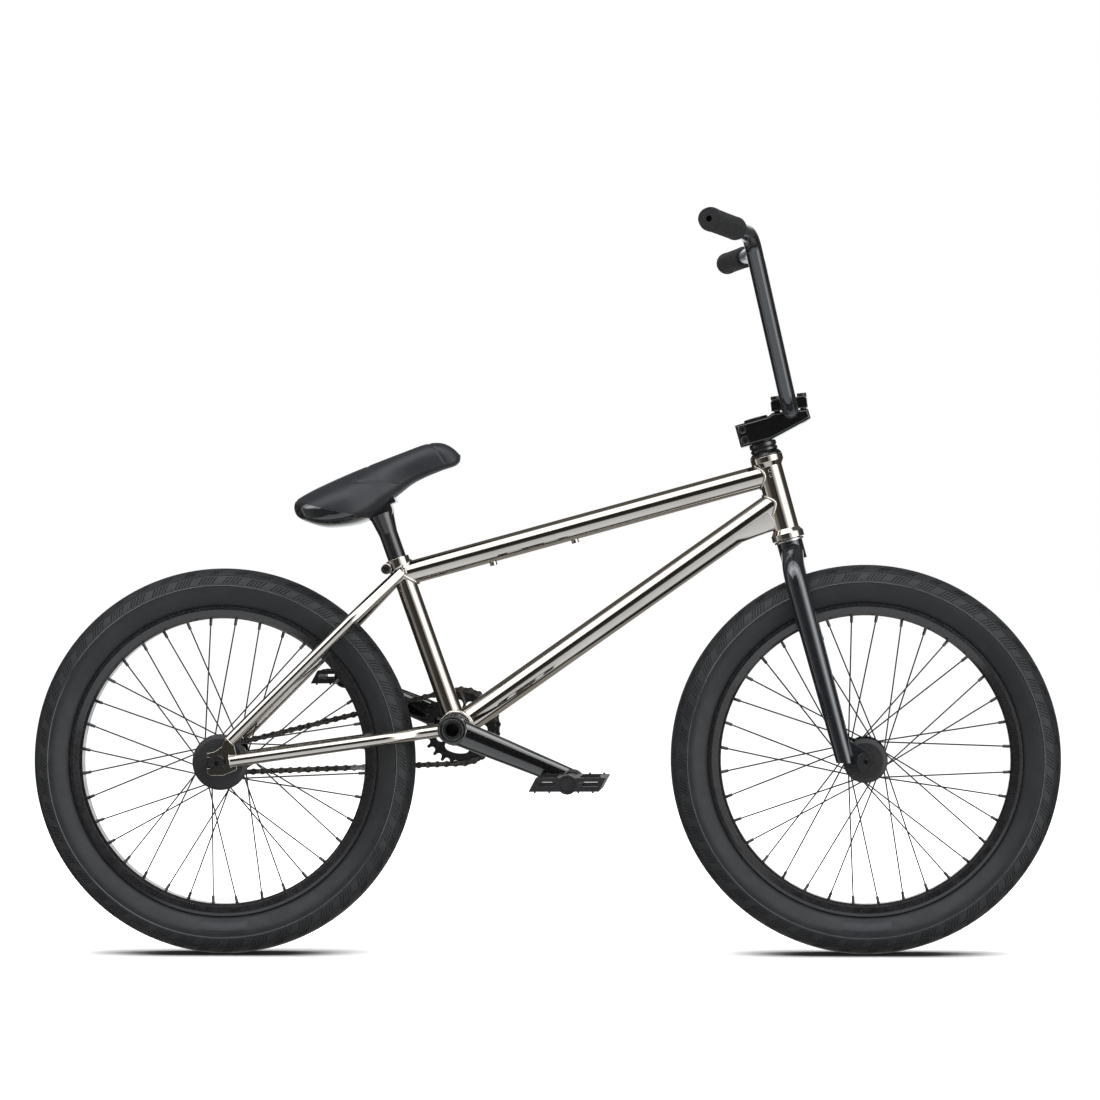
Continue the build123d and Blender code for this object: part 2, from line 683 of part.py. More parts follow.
BAR_CENTRE = STEM.from_local_coords(Vector(BAR_CLAMP_FORWARD, 0, BAR_CLAMP_UP))
CLAMP = Plane(
    BAR_CENTRE,
    x_dir=HEAD_FORWARD * cos(CLAMP_LEAN) - HEAD_UP * sin(CLAMP_LEAN),
    z_dir=HEAD_UP * cos(CLAMP_LEAN) + HEAD_FORWARD * sin(CLAMP_LEAN),
)


def clamp_point(forward, y, up):
    return CLAMP.from_local_coords(Vector(forward, y, up))


def stem_point(forward, y, up):
    return STEM.from_local_coords(Vector(forward, y, up))


def stem_slab(points, half):
    return slab([(p.X, p.Z) for p in points], -half, half)


def stem_body():
    """Stem block: clamps the steerer from behind and carries the bar in a top-loading saddle."""
    outline = [stem_point(-29.2, 0, 20), stem_point(13.8, 0, 20), stem_point(71.7, 0, 33.3)]
    outline += [clamp_point(24, 0, -1), clamp_point(-25, 0, -1)]
    outline += [stem_point(17.5, 0, 50.9), stem_point(-29.2, 0, 50.6)]
    shape = stem_slab(outline, STEM_HALF)
    sides = shape.faces().sort_by(Axis.Y)
    shape = chamfer(sides[0].edges() + sides[-1].edges(), 2.4)
    shape -= rod(HEAD_TOP, HEAD_TOP + HEAD_UP * 80, STEERER_R + 0.03)
    shape -= cross_rod(BAR_CENTRE, -40, 40, BAR_R + 0.03)
    shape -= STEM * Pos(-25, 0, 35) * Box(30, 2.4, 60)
    for up in PINCH_UPS:
        shape -= cross_rod(stem_point(PINCH_BACK, 0, up), -40, 40, 3.1)
        shape -= cross_rod(stem_point(PINCH_BACK, 0, up), -40, -STEM_HALF + 6, 4.9)
    for forward, y in CLAMP_BOLT_SPOTS:
        shape -= rod(clamp_point(forward, y, -30), clamp_point(forward, y, 10), 4.05)
    return shape


def stem_bar_clamp():
    outline = [clamp_point(-25, 0, 1), clamp_point(24, 0, 1), clamp_point(24, 0, 13.5)]
    outline += [clamp_point(20.5, 0, 16.5), clamp_point(-21.5, 0, 16.5), clamp_point(-25, 0, 13.5)]
    shape = stem_slab(outline, STEM_HALF) - cross_rod(BAR_CENTRE, -40, 40, BAR_R + 0.03)
    for forward, y in CLAMP_BOLT_SPOTS:
        shape -= rod(clamp_point(forward, y, -30), clamp_point(forward, y, 30), 4.05)
    return shape


def socket_bolt(start, end, radius, head_radius, head_height, key):
    """Hex-socket bolt: the shank runs from start to end and the head stands beyond end."""
    axis = (Vector(end) - Vector(start)).normalized()
    tip = Vector(end) + axis * head_height
    shape = rod(start, end, radius) + rod(end, tip, head_radius)
    return shape - Plane(tip, z_dir=axis) * extrude(RegularPolygon(key, 6), amount=-head_height * 0.7)


def stem_bolts():
    bolts = []
    for up in PINCH_UPS:
        spot = stem_point(PINCH_BACK, 0, up)
        start = Vector(spot.X, STEM_HALF - 3, spot.Z)
        end = Vector(spot.X, -STEM_HALF + 6, spot.Z)
        bolts.append(socket_bolt(start, end, 3.0, 4.8, 5, 2.9))
    for forward, y in CLAMP_BOLT_SPOTS:
        start = clamp_point(forward, y, -6.5)
        bolts.append(socket_bolt(start, clamp_point(forward, y, 16.6), 4.0, 6.4, 4.5, 3.3))
    return group(*bolts)


def fork_top_cap():
    """Round cap on the stem with the bolt that preloads the headset."""
    cap = turned_z(STEM, [(0, 51.2), (15.5, 51.2), (16.5, 52), (16.5, 53.4), (15.5, 54.2), (0, 54.2)])
    cap += rod(stem_point(0, 0, 30), stem_point(0, 0, 51.3), 3)
    cap -= STEM * Pos(0, 0, 54.3) * extrude(RegularPolygon(3.4, 6), amount=-3)
    nut = pipe(stem_point(0, 0, 24), stem_point(0, 0, 34), 11.9, 3.05)
    return group(cap, nut)


BAR_TOP = BAR_CENTRE + Vector(-sin(BAR_LEAN), 0, cos(BAR_LEAN)) * (BAR_RISE / cos(BAR_LEAN))


def bar_corner_points():
    """Corners of the bar's centre line, from the middle out to the left end."""
    upper = Vector(BAR_TOP.X, BAR_UPPER_BEND, BAR_TOP.Z)
    reach = BAR_HALF_WIDTH - BAR_UPPER_BEND
    end = Vector(upper.X - reach * sin(BAR_SWEEP) / cos(BAR_SWEEP), BAR_HALF_WIDTH, upper.Z + 2.0)
    return [Vector(BAR_CENTRE.X, BAR_LOWER_BEND, BAR_CENTRE.Z), upper, end]


def handlebar():
    lower, upper, end = bar_corner_points()
    corners = [end, upper, lower]
    corners += [Vector(p.X, -p.Y, p.Z) for p in (lower, upper, end)]
    return bent_tube(corners, BAR_BEND, BAR_R, BAR_BORE)


def handlebar_crossbar():
    """Straight tube between the two uprights."""
    lower, upper, _ = bar_corner_points()
    share = 0.56
    spot = lower + (upper - lower) * share
    shape = pipe((spot.X, -spot.Y, spot.Z), (spot.X, spot.Y, spot.Z), 9.5, 8.2)
    for side in SIDES:
        start = Vector(lower.X, side * lower.Y, lower.Z)
        end = Vector(upper.X, side * upper.Y, upper.Z)
        shape -= rod(start, end, BAR_R + WELD_GAP)
    return shape.solids().sort_by(SortBy.VOLUME)[-1]


def bar_end():
    _, upper, end = bar_corner_points()
    return end, (end - upper).normalized()


def grip_left():
    end, out = bar_end()
    place = Plane(end - out * GRIP_LENGTH, z_dir=out)
    bore, edge, length = BAR_R + 0.02, 1.5, GRIP_LENGTH
    profile = [(bore, 0), (GRIP_R - edge, 0), (GRIP_R, edge), (GRIP_R, length - edge)]
    return turned_z(place, profile + [(GRIP_R - edge, length), (bore, length)])


def bar_end_plugs():
    end, out = bar_end()
    plug = rod(end + out * 0.1, end + out * 5.5, 14)
    plug += rod(end - out * 22, end + out * 0.2, BAR_BORE - 0.1)
    plug = plug - rod(end - out * 10, end + out * 6, 4)
    return group(plug, mirrored(plug))


# ---- cranks, pedals, sprocket -------------------------------------------------------------
def crank_spindle():
    """Hollow spindle, closed by a thin wall at its middle."""
    return ring_y(BB, -CRANK_OUTER, CRANK_OUTER, SPINDLE_R, 9.3) + cross_rod(BB, -1, 1, SPINDLE_R - 1)


def arm_direction(side):
    """The right arm points down and forward, the left arm up and back."""
    return CRANK_DIR * -side


# Distance along the arm, height, thickness, and the width of the bevel on its upper outer edge.
ARM_SECTIONS = ((2, 36, 20.5, 8), (60, 33, 20.5, 11), (CRANK_LENGTH - 4, 26.5, 15.5, 15))
ARM_EDGE = 2.4
ARM_BEVEL_SLOPE = 0.6


def arm_section(high, thick, bevel, side):
    """Cross-section of a crank arm: x is up when the arm points forward, and y is sideways."""
    top, outside = high / 2, thick / 2
    points = [(-top + ARM_EDGE, -outside), (top - ARM_EDGE, -outside), (top, -outside + ARM_EDGE)]
    points += [(top, outside - bevel * ARM_BEVEL_SLOPE), (top - bevel, outside)]
    points += [(-top + ARM_EDGE, outside), (-top, outside - ARM_EDGE), (-top, -outside + ARM_EDGE)]
    return make_face(Polyline(*[(x, -side * y) for x, y in points], close=True))


def crank_arm(side):
    along = arm_direction(side)
    tip = BB + along * CRANK_LENGTH
    boss = cross_rod(BB, side * CRANK_INNER, side * CRANK_OUTER, 19.5)
    eye = cross_rod(tip, side * 60, side * CRANK_OUTER, 14.5)
    up = Vector(-along.Z, 0, along.X)
    sections = []
    for distance, high, thick, bevel in ARM_SECTIONS:
        spot = BB + along * distance
        plane = Plane((spot.X, side * CRANK_MID, spot.Z), x_dir=up, z_dir=along)
        sections.append(plane * arm_section(high, thick, bevel, side))
    shape = loft(sections, ruled=True) + boss + eye
    rim = cross_rod(BB, side * (CRANK_OUTER - 1.5), side * 80, 17.5)
    shape -= rim - cross_rod(BB, side * 70, side * 90, 14.5)
    shape -= cross_rod(BB, side * 40, side * 90, SPINDLE_R + 0.04)
    return shape - cross_rod(tip, side * 50, side * 90, PEDAL_THREAD_R + 0.05)


def pedal_axles():
    axles = []
    for side in SIDES:
        tip = BB + arm_direction(side) * CRANK_LENGTH
        shape = cross_rod(tip, side * 61, side * CRANK_OUTER, PEDAL_THREAD_R)
        shape += cross_rod(tip, side * (CRANK_OUTER + 0.1), side * 83, 9.5)
        shape += cross_rod(tip, side * 76, side * 184, PEDAL_SHAFT_R)
        axles.append(shape)
    return group(*axles)


def pedal(side):
    """Flat plastic platform: slanted ends, four open windows, a round end boss and pins."""
    tip = BB + arm_direction(side) * CRANK_LENGTH
    half = PEDAL_LENGTH / 2
    high = PEDAL_HALF_HEIGHT
    outline = [(-half - PEDAL_SLANT, -high), (half - PEDAL_SLANT, -high), (half + PEDAL_SLANT, high)]
    outline += [(-half + PEDAL_SLANT, high)]
    width = PEDAL_OUTER - PEDAL_INNER
    middle = side * (PEDAL_INNER + PEDAL_OUTER) / 2
    place = Pos(tip.X, middle, tip.Z)
    body = slab([(tip.X + x, tip.Z + z) for x, z in outline], middle - width / 2, middle + width / 2)
    for end in SIDES:
        body -= place * Pos(end * 27.5, 0, 0) * Box(PEDAL_WINDOW, width - 18, 40)
        body -= place * Pos(end * 27.5, 0, 0.8) * Box(PEDAL_WINDOW, width + 2, 6.2)
    body += cross_rod(tip, side * PEDAL_INNER, side * (PEDAL_OUTER - 12), 10.5)
    body += cross_rod(tip, side * (PEDAL_OUTER - 12), side * PEDAL_OUTER, PEDAL_BOSS_R)
    body += cross_rod(tip, side * PEDAL_INNER, side * (PEDAL_INNER + 9), PEDAL_BOSS_R)
    dish = cross_rod(tip, side * (PEDAL_OUTER - 1.2), side * (PEDAL_OUTER + 5), 10.5)
    body -= dish - cross_rod(tip, side * (PEDAL_OUTER - 5), side * (PEDAL_OUTER + 9), 8.5)
    body -= cross_rod(tip, side * 80, side * 184.5, PEDAL_SHAFT_R + 0.06)
    return body + pedal_pins(place, half, width, high)


def pedal_pins(place, half, width, high):
    pins = None
    for level in SIDES:
        for x in (-half + 8, -half / 2 + 4, half / 2 - 4, half - 8):
            for y in (-width / 2 + 5.5, width / 2 - 5.5):
                spot = place * Pos(x + level * PEDAL_SLANT, y, level * (high - 0.5))
                pin = spot * Cylinder(1.3, 5.0)
                pins = pin if pins is None else pins + pin
    return pins


def tooth_gap(teeth, flank):
    """Cutter for the gap between two teeth, at angle 0, in the sprocket's own plane."""
    pitch_r = CHAIN_PITCH / (2 * sin(pi / teeth))
    top = pitch_r + 6
    wide = TOOTH_SEAT_R + 6 * sin(flank) / cos(flank)
    foot = [(pitch_r, TOOTH_SEAT_R), (pitch_r, -TOOTH_SEAT_R)]
    wedge = Polyline(*foot, (top, -wide), (top, wide), close=True)
    return make_face(wedge) + Pos(pitch_r, 0) * Circle(TOOTH_SEAT_R)


def toothed_disc(teeth, tip, flank, phase):
    """Flat toothed outline; phase is the angle of one gap in degrees."""
    disc = Circle(tip)
    gap = tooth_gap(teeth, flank)
    for i in range(teeth):
        disc -= Rot(0, 0, phase + i * 360 / teeth) * gap
    return disc


def chain_places():
    """World angle of the pitch line's own frame, and the rollers in that frame."""
    distances = roller_distances(CENTRE_GAP)[:CHAIN_LINKS]
    return [chain_point(distance, CENTRE_GAP) for distance in distances]


# The drive is drawn in a plane with local x from the driver to the sprocket and local y up.
# Its normal is -Y, so a height above the plane is a distance towards the rider's right.
DRIVE = Plane(
    (REAR_X, CHAIN_Y, AXLE_HEIGHT),
    x_dir=(cos(CHAIN_SLOPE), 0, sin(CHAIN_SLOPE)),
    z_dir=(0, -1, 0),
)
ROLLERS = chain_places()


def sprocket():
    x, y = ROLLERS[0]
    phase = degrees(atan2(y, x - CENTRE_GAP))
    pitch_r = CHAIN_PITCH / (2 * sin(pi / SPROCKET_TEETH))
    disc = toothed_disc(SPROCKET_TEETH, pitch_r + 3.0, radians(21), phase)
    window = SlotArc(CenterArc((0, 0), 30.5, 16, 40), 13)
    for i in range(5):
        disc -= Rot(0, 0, i * 72) * window
    flat = Pos(0, 0, -1.5) * extrude(disc, amount=3)
    flat += Pos(0, 0, -1.5 - 5) * Cylinder(18, 5, align=BOTTOM)
    flat -= Cylinder(SPINDLE_R + 0.05, 40)
    return DRIVE * Pos(CENTRE_GAP, 0, 0) * flat


def rear_driver():
    """Nine-tooth driver, with the body that runs on bearings beside the hub shell."""
    on_driver = [p for p in ROLLERS if hypot(*p) < 18.6]
    x, y = on_driver[len(on_driver) // 2]
    phase = degrees(atan2(y, x))
    pitch_r = CHAIN_PITCH / (2 * sin(pi / DRIVER_TEETH))
    disc = toothed_disc(DRIVER_TEETH, pitch_r + 1.7, radians(39), phase)
    for roller in ROLLERS:
        if hypot(*roller) < 32:
            disc -= Pos(*roller) * Circle(TOOTH_SEAT_R)
    flat = Pos(0, 0, -1.5) * extrude(disc, amount=3)
    shape = DRIVE * flat
    shape += cross_rod(REAR_AXLE, 37.6, 52.5, 14.2)
    return shape - cross_rod(REAR_AXLE, 30, 60, 13.1)


# ---- chain --------------------------------------------------------------------------------


def link_plate(low, high):
    """Waisted plate between two pins, on the link's own x axis."""
    ends = Circle(PLATE_R) + Pos(CHAIN_PITCH, 0) * Circle(PLATE_R)
    waist = Pos(CHAIN_PITCH / 2, 0) * Rectangle(CHAIN_PITCH, 6.2)
    return Pos(0, 0, low) * extrude(ends + waist, amount=high - low)


def inner_link():
    shape = link_plate(INNER_HALF, INNER_HALF + PLATE) + link_plate(-INNER_HALF - PLATE, -INNER_HALF)
    for x in (0, CHAIN_PITCH):
        shape += Pos(x, 0, 0) * Cylinder(ROLLER_R, 2 * INNER_HALF + 0.2)
    for x in (0, CHAIN_PITCH):
        shape -= Pos(x, 0, 0) * Cylinder(PIN_R + 0.05, 12)
    return shape


def outer_link():
    inside = INNER_HALF + PLATE + 0.1
    shape = link_plate(inside, inside + PLATE) + link_plate(-inside - PLATE, -inside)
    for x in (0, CHAIN_PITCH):
        shape += Pos(x, 0, 0) * Cylinder(PIN_R, 2 * PIN_HALF)
    return shape


def placed_links(link, first):
    """Every second link of the loop, starting at roller number first."""
    shapes = []
    for i in range(first, CHAIN_LINKS, 2):
        x, y = ROLLERS[i]
        ahead = ROLLERS[(i + 1) % CHAIN_LINKS]
        turn = degrees(atan2(ahead[1] - y, ahead[0] - x))
        shapes.append(DRIVE * Pos(x, y, 0) * Rot(0, 0, turn) * link)
    return shapes


JOINING_LINK_BACK = 164.0


def joining_link_number():
    """Which outer link on the lower run is the joining link."""
    best, number = None, 0
    for i in range(0, CHAIN_LINKS, 2):
        x, y = ROLLERS[i]
        miss = abs(x - CHAIN_PITCH / 2 - JOINING_LINK_BACK)
        if y < 0 and (best is None or miss < best):
            best, number = miss, i // 2
    return number


# ---- wheels -------------------------------------------------------------------------------
def tyre(centre):
    """Tyre as one closed ring: tread, sidewalls and two beads."""
    def flank(side):
        outer = [(216, side * 21.5), (233, side * TYRE_HALF_WIDTH)]
        outer += [(249, side * 25.6), (258.4, side * 14.5)]
        inner = [(214, side * 17.5), (232, side * 26.6), (246.5, side * 22), (254.2, side * 12.5)]
        return outer, inner

    outer_left, inner_left = flank(1)
    outer_right, inner_right = flank(-1)
    outside = Spline((210.8, 15.4), *outer_left, (TYRE_RADIUS, 0), *reversed(outer_right), (210.8, -15.4))
    inside = Spline((203.2, 10.6), *inner_left, (257.2, 0), *reversed(inner_right), (203.2, -10.6))
    edges = [outside, inside]
    for side in SIDES:
        edges.append(Line((210.8, side * 15.4), (203.2, side * 14.9)))
        edges.append(Line((203.2, side * 14.9), (203.2, side * 10.6)))
    return Pos(centre.X, 0, centre.Z) * revolve(make_face(edges), Axis.Y)


INNER_TUBE_RING_R = 230.5
INNER_TUBE_R = 22.5


def tube_section(radius):
    """Twenty-sided cross-section of the inner tube, as (distance from the axle line, y)."""
    turns = [radians(9 + 18 * i) for i in range(20)]
    return [(INNER_TUBE_RING_R + radius * cos(t), radius * sin(t)) for t in turns]


def valve_direction(number):
    """Direction from the axle to the valve, halfway between two spoke holes."""
    angle = spoke_angle(number + 0.5)
    return Vector(cos(angle), 0, sin(angle))


def inner_tube(centre, valve_number):
    """Inner tube, with a hollow valve stem pointing at the axle."""
    out = valve_direction(valve_number)
    shape = turned_y(centre, tube_section(INNER_TUBE_R))
    shape += rod(centre + out * (INNER_TUBE_RING_R - INNER_TUBE_R + 5), centre + out * 181, 4)
    shape += rod(centre + out * 183, centre + out * 170, 4.6)
    shape -= turned_y(centre, tube_section(INNER_TUBE_R - 1.1))
    return shape - rod(centre + out * INNER_TUBE_RING_R, centre + out * 165, 1.8)


RIM_HOLE_R = 2.9
RIM_HOLE_RADIUS = 194.8
RIM_HOLE_Y = 3.0
SPOKE_PHASE = 5.0


def spoke_angle(number):
    """Angle of rim hole number, in radians; holes alternate left and right."""
    return radians(SPOKE_PHASE + number * 360 / SPOKES_PER_WHEEL)


def rim(centre, valve_number):
    outer = [(RIM_OUTER_R, 18.4), (206, 18.8), (197.5, 17.2), (RIM_INNER_R, 11), (RIM_INNER_R, -11)]
    outer += [(197.5, -17.2), (206, -18.8), (RIM_OUTER_R, -18.4), (RIM_OUTER_R, -16.4), (203, -15.4)]
    outer += [(203, -9), (200.6, -7), (200.6, 7), (203, 9), (203, 15.4), (RIM_OUTER_R, 16.4)]
    chamber = [(199, 13.6), (197.8, 13.6), (195.7, 10.4), (195.7, -10.4), (197.8, -13.6), (199, -13.6)]
    shape = turned_y(centre, outer) - turned_y(centre, chamber)
    holes = []
    for i in range(SPOKES_PER_WHEEL):
        angle = spoke_angle(i)
        y = RIM_HOLE_Y if i % 2 == 0 else -RIM_HOLE_Y
        out = Vector(cos(angle), 0, sin(angle))
        start = centre + out * 190 + Vector(0, y, 0)
        holes.append(rod(start, start + out * 7.5, RIM_HOLE_R))
    shape -= holes
    out = valve_direction(valve_number)
    return shape - rod(centre + out * 185, centre + out * 215, 4.3)


def spoke_ends(flange_y, hub_angle, rim_angle, outside):
    """Elbow and rim points of one spoke, relative to the axle."""
    side = 1 if flange_y > 0 else -1
    elbow_y = flange_y + (SPOKE_ELBOW if outside else -SPOKE_ELBOW)
    elbow = Vector(SPOKE_PCD_R * cos(hub_angle), elbow_y, SPOKE_PCD_R * sin(hub_angle))
    tip = Vector(RIM_HOLE_RADIUS * cos(rim_angle), side * RIM_HOLE_Y, RIM_HOLE_RADIUS * sin(rim_angle))
    return elbow, tip


def one_spoke(flange_y, elbow, tip):
    """Spoke with its bend and head, the head on the far face of the flange."""
    out = (tip - elbow).normalized()
    step = -1 if elbow.Y > flange_y else 1
    head = Vector(elbow.X, flange_y + step * (FLANGE_HALF + 0.1), elbow.Z)
    shape = rod(elbow, tip + out * 2.4, SPOKE_R) + Pos(*elbow) * Sphere(SPOKE_R)
    shape += rod(elbow, head + Vector(0, step * 0.5, 0), SPOKE_R)
    return shape + rod(head, head + Vector(0, step * 1.0, 0), 1.9)


def one_nipple(elbow, tip):
    out = (tip - elbow).normalized()
    shape = rod(tip - out * 10, tip + out * 1.6, 2.1) + rod(tip + out * 1.6, tip + out * 2.9, 3.2)
    return shape - rod(tip - out * 12, tip + out * 4, SPOKE_R + 0.03)


def spoke_pattern(flanges):
    """The four kinds of spoke, as (flange_y, elbow, tip), each used nine times."""
    kinds = []
    for number, flange_y in enumerate(flanges):
        base = number
        for hub, rim_hole, outside in ((0, 6, True), (2, -4, False)):
            hub_angle = spoke_angle(base + hub)
            rim_angle = spoke_angle(base + rim_hole)
            outward = outside == (flange_y > 0)
            kinds.append((flange_y, *spoke_ends(flange_y, hub_angle, rim_angle, outward)))
    return kinds


def spokes_and_nipples(centre, flanges):
    spokes, nipples = [], []
    for flange_y, elbow, tip in spoke_pattern(flanges):
        spoke = one_spoke(flange_y, elbow, tip)
        nipple = one_nipple(elbow, tip)
        for i in range(9):
            place = Pos(centre.X, 0, centre.Z) * Rot(0, i * 40, 0)
            spokes.append(place * spoke)
            nipples.append(place * nipple)
    return group(*spokes), group(*nipples)


def flange_holes(centre, flanges):
    holes = []
    for number, flange_y in enumerate(flanges):
        for i in range(18):
            angle = spoke_angle(number + 2 * i)
            spot = centre + Vector(SPOKE_PCD_R * cos(angle), 0, SPOKE_PCD_R * sin(angle))
            holes.append(cross_rod(spot, flange_y - 3, flange_y + 3, 1.35))
    return holes


def flange_steps(flange_y):
    """Profile points that go up and over one hub flange, in order of rising y."""
    low, high = flange_y - FLANGE_HALF, flange_y + FLANGE_HALF
    return [(16, low - 4), (20, low), (FLANGE_R, low), (FLANGE_R, high), (20, high), (16, high + 4)]


FRONT_FLANGES = (30.0, -30.0)
REAR_FLANGES = (29.0, -33.0)


def front_hub():
    inner = [(14.05, -38.3), (14.05, -31), (10, -30), (10, 30), (14.05, 31), (14.05, 38.3)]
    outer = [(16.2, 38.3)] + list(reversed(flange_steps(FRONT_FLANGES[0]))) + [(14.8, 20), (14.8, -20)]
    outer += list(reversed(flange_steps(FRONT_FLANGES[1]))) + [(16.2, -38.3)]
    shape = turned_y(FRONT_AXLE, inner + outer)
    shape -= flange_holes(FRONT_AXLE, FRONT_FLANGES)
    return shape


def rear_hub():
    """Hub shell, wide on the drive side where it houses the driver's clutch."""
    inner = [(17.05, -43), (17.05, -35), (14, -34), (14, 27), (17.05, 28), (17.05, 36.4)]
    outer = [(19, 36.4), (19, 30.3), (FLANGE_R, 30.3), (FLANGE_R, 27.7), (21.5, 27.7), (19, 20), (18, 0)]
    outer += [(18, -26), (20, -31.7), (FLANGE_R, -31.7), (FLANGE_R, -34.3), (20, -34.3), (19, -37), (19, -43)]
    shape = turned_y(REAR_AXLE, inner + outer)
    shape -= flange_holes(REAR_AXLE, REAR_FLANGES)
    return shape


def front_hub_bearings():
    return group(*[ring_y(FRONT_AXLE, side * 31.2, side * 38.2, 14, 11.05) for side in SIDES])


def front_axle():
    """Hollow axle with the bearings' inner races and the cone spacers."""
    axle = ring_y(FRONT_AXLE, -49.9, 49.9, 8, 4.8)
    races = [ring_y(FRONT_AXLE, side * 31.2, side * 38.2, 11, 8.03) for side in SIDES]
    cones = [ring_y(FRONT_AXLE, side * 38.4, side * 49.9, 11.2, 8.03) for side in SIDES]
    return group(axle, *races, *cones)


def axle_bolt(centre, side, start, face, shank, flange, head, height, key):
    """Axle bolt with a wide round flange and a stepped head."""
    shape = cross_rod(centre, side * start, side * (face + 1), shank)
    steps = [(0, 0), (flange, 0), (flange, 0.35), (head, 0.55), (head, 1), (0, 1)]
    shape += turned_y(centre, [(r, side * (face + height * share)) for r, share in steps])
    tip = Pos(centre.X, side * (face + height), centre.Z) * Rot(90, 0, 0)
    return shape - tip * extrude(RegularPolygon(key, 6), amount=side * 6)


def front_axle_bolts():
    spot = FRONT_DROPOUT_OUTER + 0.1
    return group(*[axle_bolt(FRONT_AXLE, side, 24, spot, 4.7, 12.35, 11.4, 9.9, 3.4) for side in SIDES])


def front_hub_guards():
    left = turned_y(
        FRONT_AXLE,
        [(11.4, 49.8), (12.6, 49.8), (13, 41.9), (24, 40.6), (29.4, 38.2), (30, 35.4), (28.6, 35.4)]
        + [(27.8, 37.4), (23.4, 39.0), (11.4, 40.4)],
    )
    return group(left, mirrored(left))


def rear_axle():
    """Hollow axle with all inner races, the cone spacers and the driver's spacer."""
    axle = ring_y(REAR_AXLE, -54.9, 54.9, 9.0, 7.1)
    races = [ring_y(REAR_AXLE, low, high, 12.5, 9.03) for low, high in ((-42.9, -35.2), (28.2, 36.2))]
    races.append(ring_y(REAR_AXLE, 38.2, 52.2, 11.4, 9.03))
    gaps = ((-54.9, -43.1), (36.3, 38.1), (52.4, 54.9))
    cones = [ring_y(REAR_AXLE, low, high, 12.2, 9.03) for low, high in gaps]
    return group(axle, *races, *cones)


def rear_hub_bearings():
    rings = [ring_y(REAR_AXLE, low, high, 17, 12.55) for low, high in ((-42.9, -35.2), (28.2, 36.2))]
    return group(*rings)


def driver_bearings():
    return ring_y(REAR_AXLE, 38.2, 52.2, 13.05, 11.45)


def rear_axle_bolts():
    bolts = []
    for side in SIDES:
        bolts.append(axle_bolt(REAR_AXLE, side, 30, REAR_DROPOUT_OUTER + 1.7, 7.05, 11.2, 10.2, 9.3, 4.0))
        inner, outer = REAR_DROPOUT_OUTER + 0.1, REAR_DROPOUT_OUTER + 1.6
        bolts.append(ring_y(REAR_AXLE, side * inner, side * outer, 12.5, 7.2))
    return group(*bolts)


def rear_hub_guard():
    """Cone-shaped guard over the right flange, held by the axle's cone spacer."""
    points = [(12.4, 54.8), (14, 54.8), (15.5, 48.2), (32, 45.2), (37.4, 41.6), (38, 37.6), (36.4, 37.6)]
    points += [(35.6, 40.6), (31, 43.2), (20.5, 45.4), (12.4, 45.4)]
    return turned_y(REAR_AXLE, [(r, -y) for r, y in points])


# ---- assembly -----------------------------------------------------------------------------
def save_frame():
    save("head_tube", head_tube())
    save("top_tube", top_tube())
    save("down_tube", group(down_tube(), gusset()))
    save("seat_tube", seat_tube())
    save("seat_clamp_bolt", seat_clamp_bolt())
    save("bb_shell", bb_shell())
    save("chainstays", chainstays())
    save("seatstays", seatstays())
    save("rear_dropouts", rear_dropouts())
    save("headset_outer_races", headset_outer_races())
    save("bb_outer_races", bb_outer_races())


def save_seat():
    save("seat_post", seat_post())
    save("seat_base", seat_base())
    save("seat_bolt", seat_bolt())
    save("seat_pad", seat_pad())


def save_steering():
    save("fork_steerer", fork_steerer())
    save("fork_legs", fork_legs())
    save("headset_inner_races", headset_inner_races())
    save("headset_spacers", headset_spacers())
    save("stem_body", stem_body())
    save("stem_bar_clamp", stem_bar_clamp())
    save("stem_bolts", stem_bolts())
    save("fork_top_cap", fork_top_cap())
    save("handlebar", group(handlebar(), handlebar_crossbar()))
    save("grip_left", grip_left())
    save("grip_right", mirrored(grip_left()))
    save("bar_end_plugs", bar_end_plugs())


def save_cranks():
    save("crank_spindle", crank_spindle())
    save("crank_arm_left", crank_arm(1))
    save("crank_arm_right", crank_arm(-1))
    save("bb_spacers", bb_spacers())
    save("sprocket", sprocket())
    save("pedal_axles", pedal_axles())
    save("pedal_left", pedal(1))
    save("pedal_right", pedal(-1))


def save_chain():
    joining = joining_link_number()
    outer = placed_links(outer_link(), 0)
    save("chain_joining_link", outer.pop(joining))
    save("chain_outer_links", group(*outer))
    save("chain_inner_links", group(*placed_links(inner_link(), 1)))


def save_wheel(name, centre, flanges, valve):
    spokes, nipples = spokes_and_nipples(centre, flanges)
    save(f"{name}_tyre", tyre(centre))
    save(f"{name}_inner_tube", inner_tube(centre, valve))
    save(f"{name}_rim", rim(centre, valve))
    save(f"{name}_spokes", spokes)
    save(f"{name}_nipples", nipples)


def save_hubs():
    save("front_hub", front_hub())
    save("front_hub_bearings", front_hub_bearings())
    save("front_axle", front_axle())
    save("front_axle_bolts", front_axle_bolts())
    save("front_hub_guards", front_hub_guards())
    save("rear_hub", rear_hub())
    save("rear_hub_bearings", rear_hub_bearings())
    save("rear_axle", rear_axle())
    save("rear_axle_bolts", rear_axle_bolts())
    save("rear_hub_guard", rear_hub_guard())
    save("rear_driver", group(rear_driver(), driver_bearings()))


os.makedirs("parts", exist_ok=True)
save_frame()
save_seat()
save_steering()
save_cranks()
save_chain()
save_wheel("front", FRONT_AXLE, FRONT_FLANGES, FRONT_VALVE)
save_wheel("rear", REAR_AXLE, REAR_FLANGES, REAR_VALVE)
save_hubs()
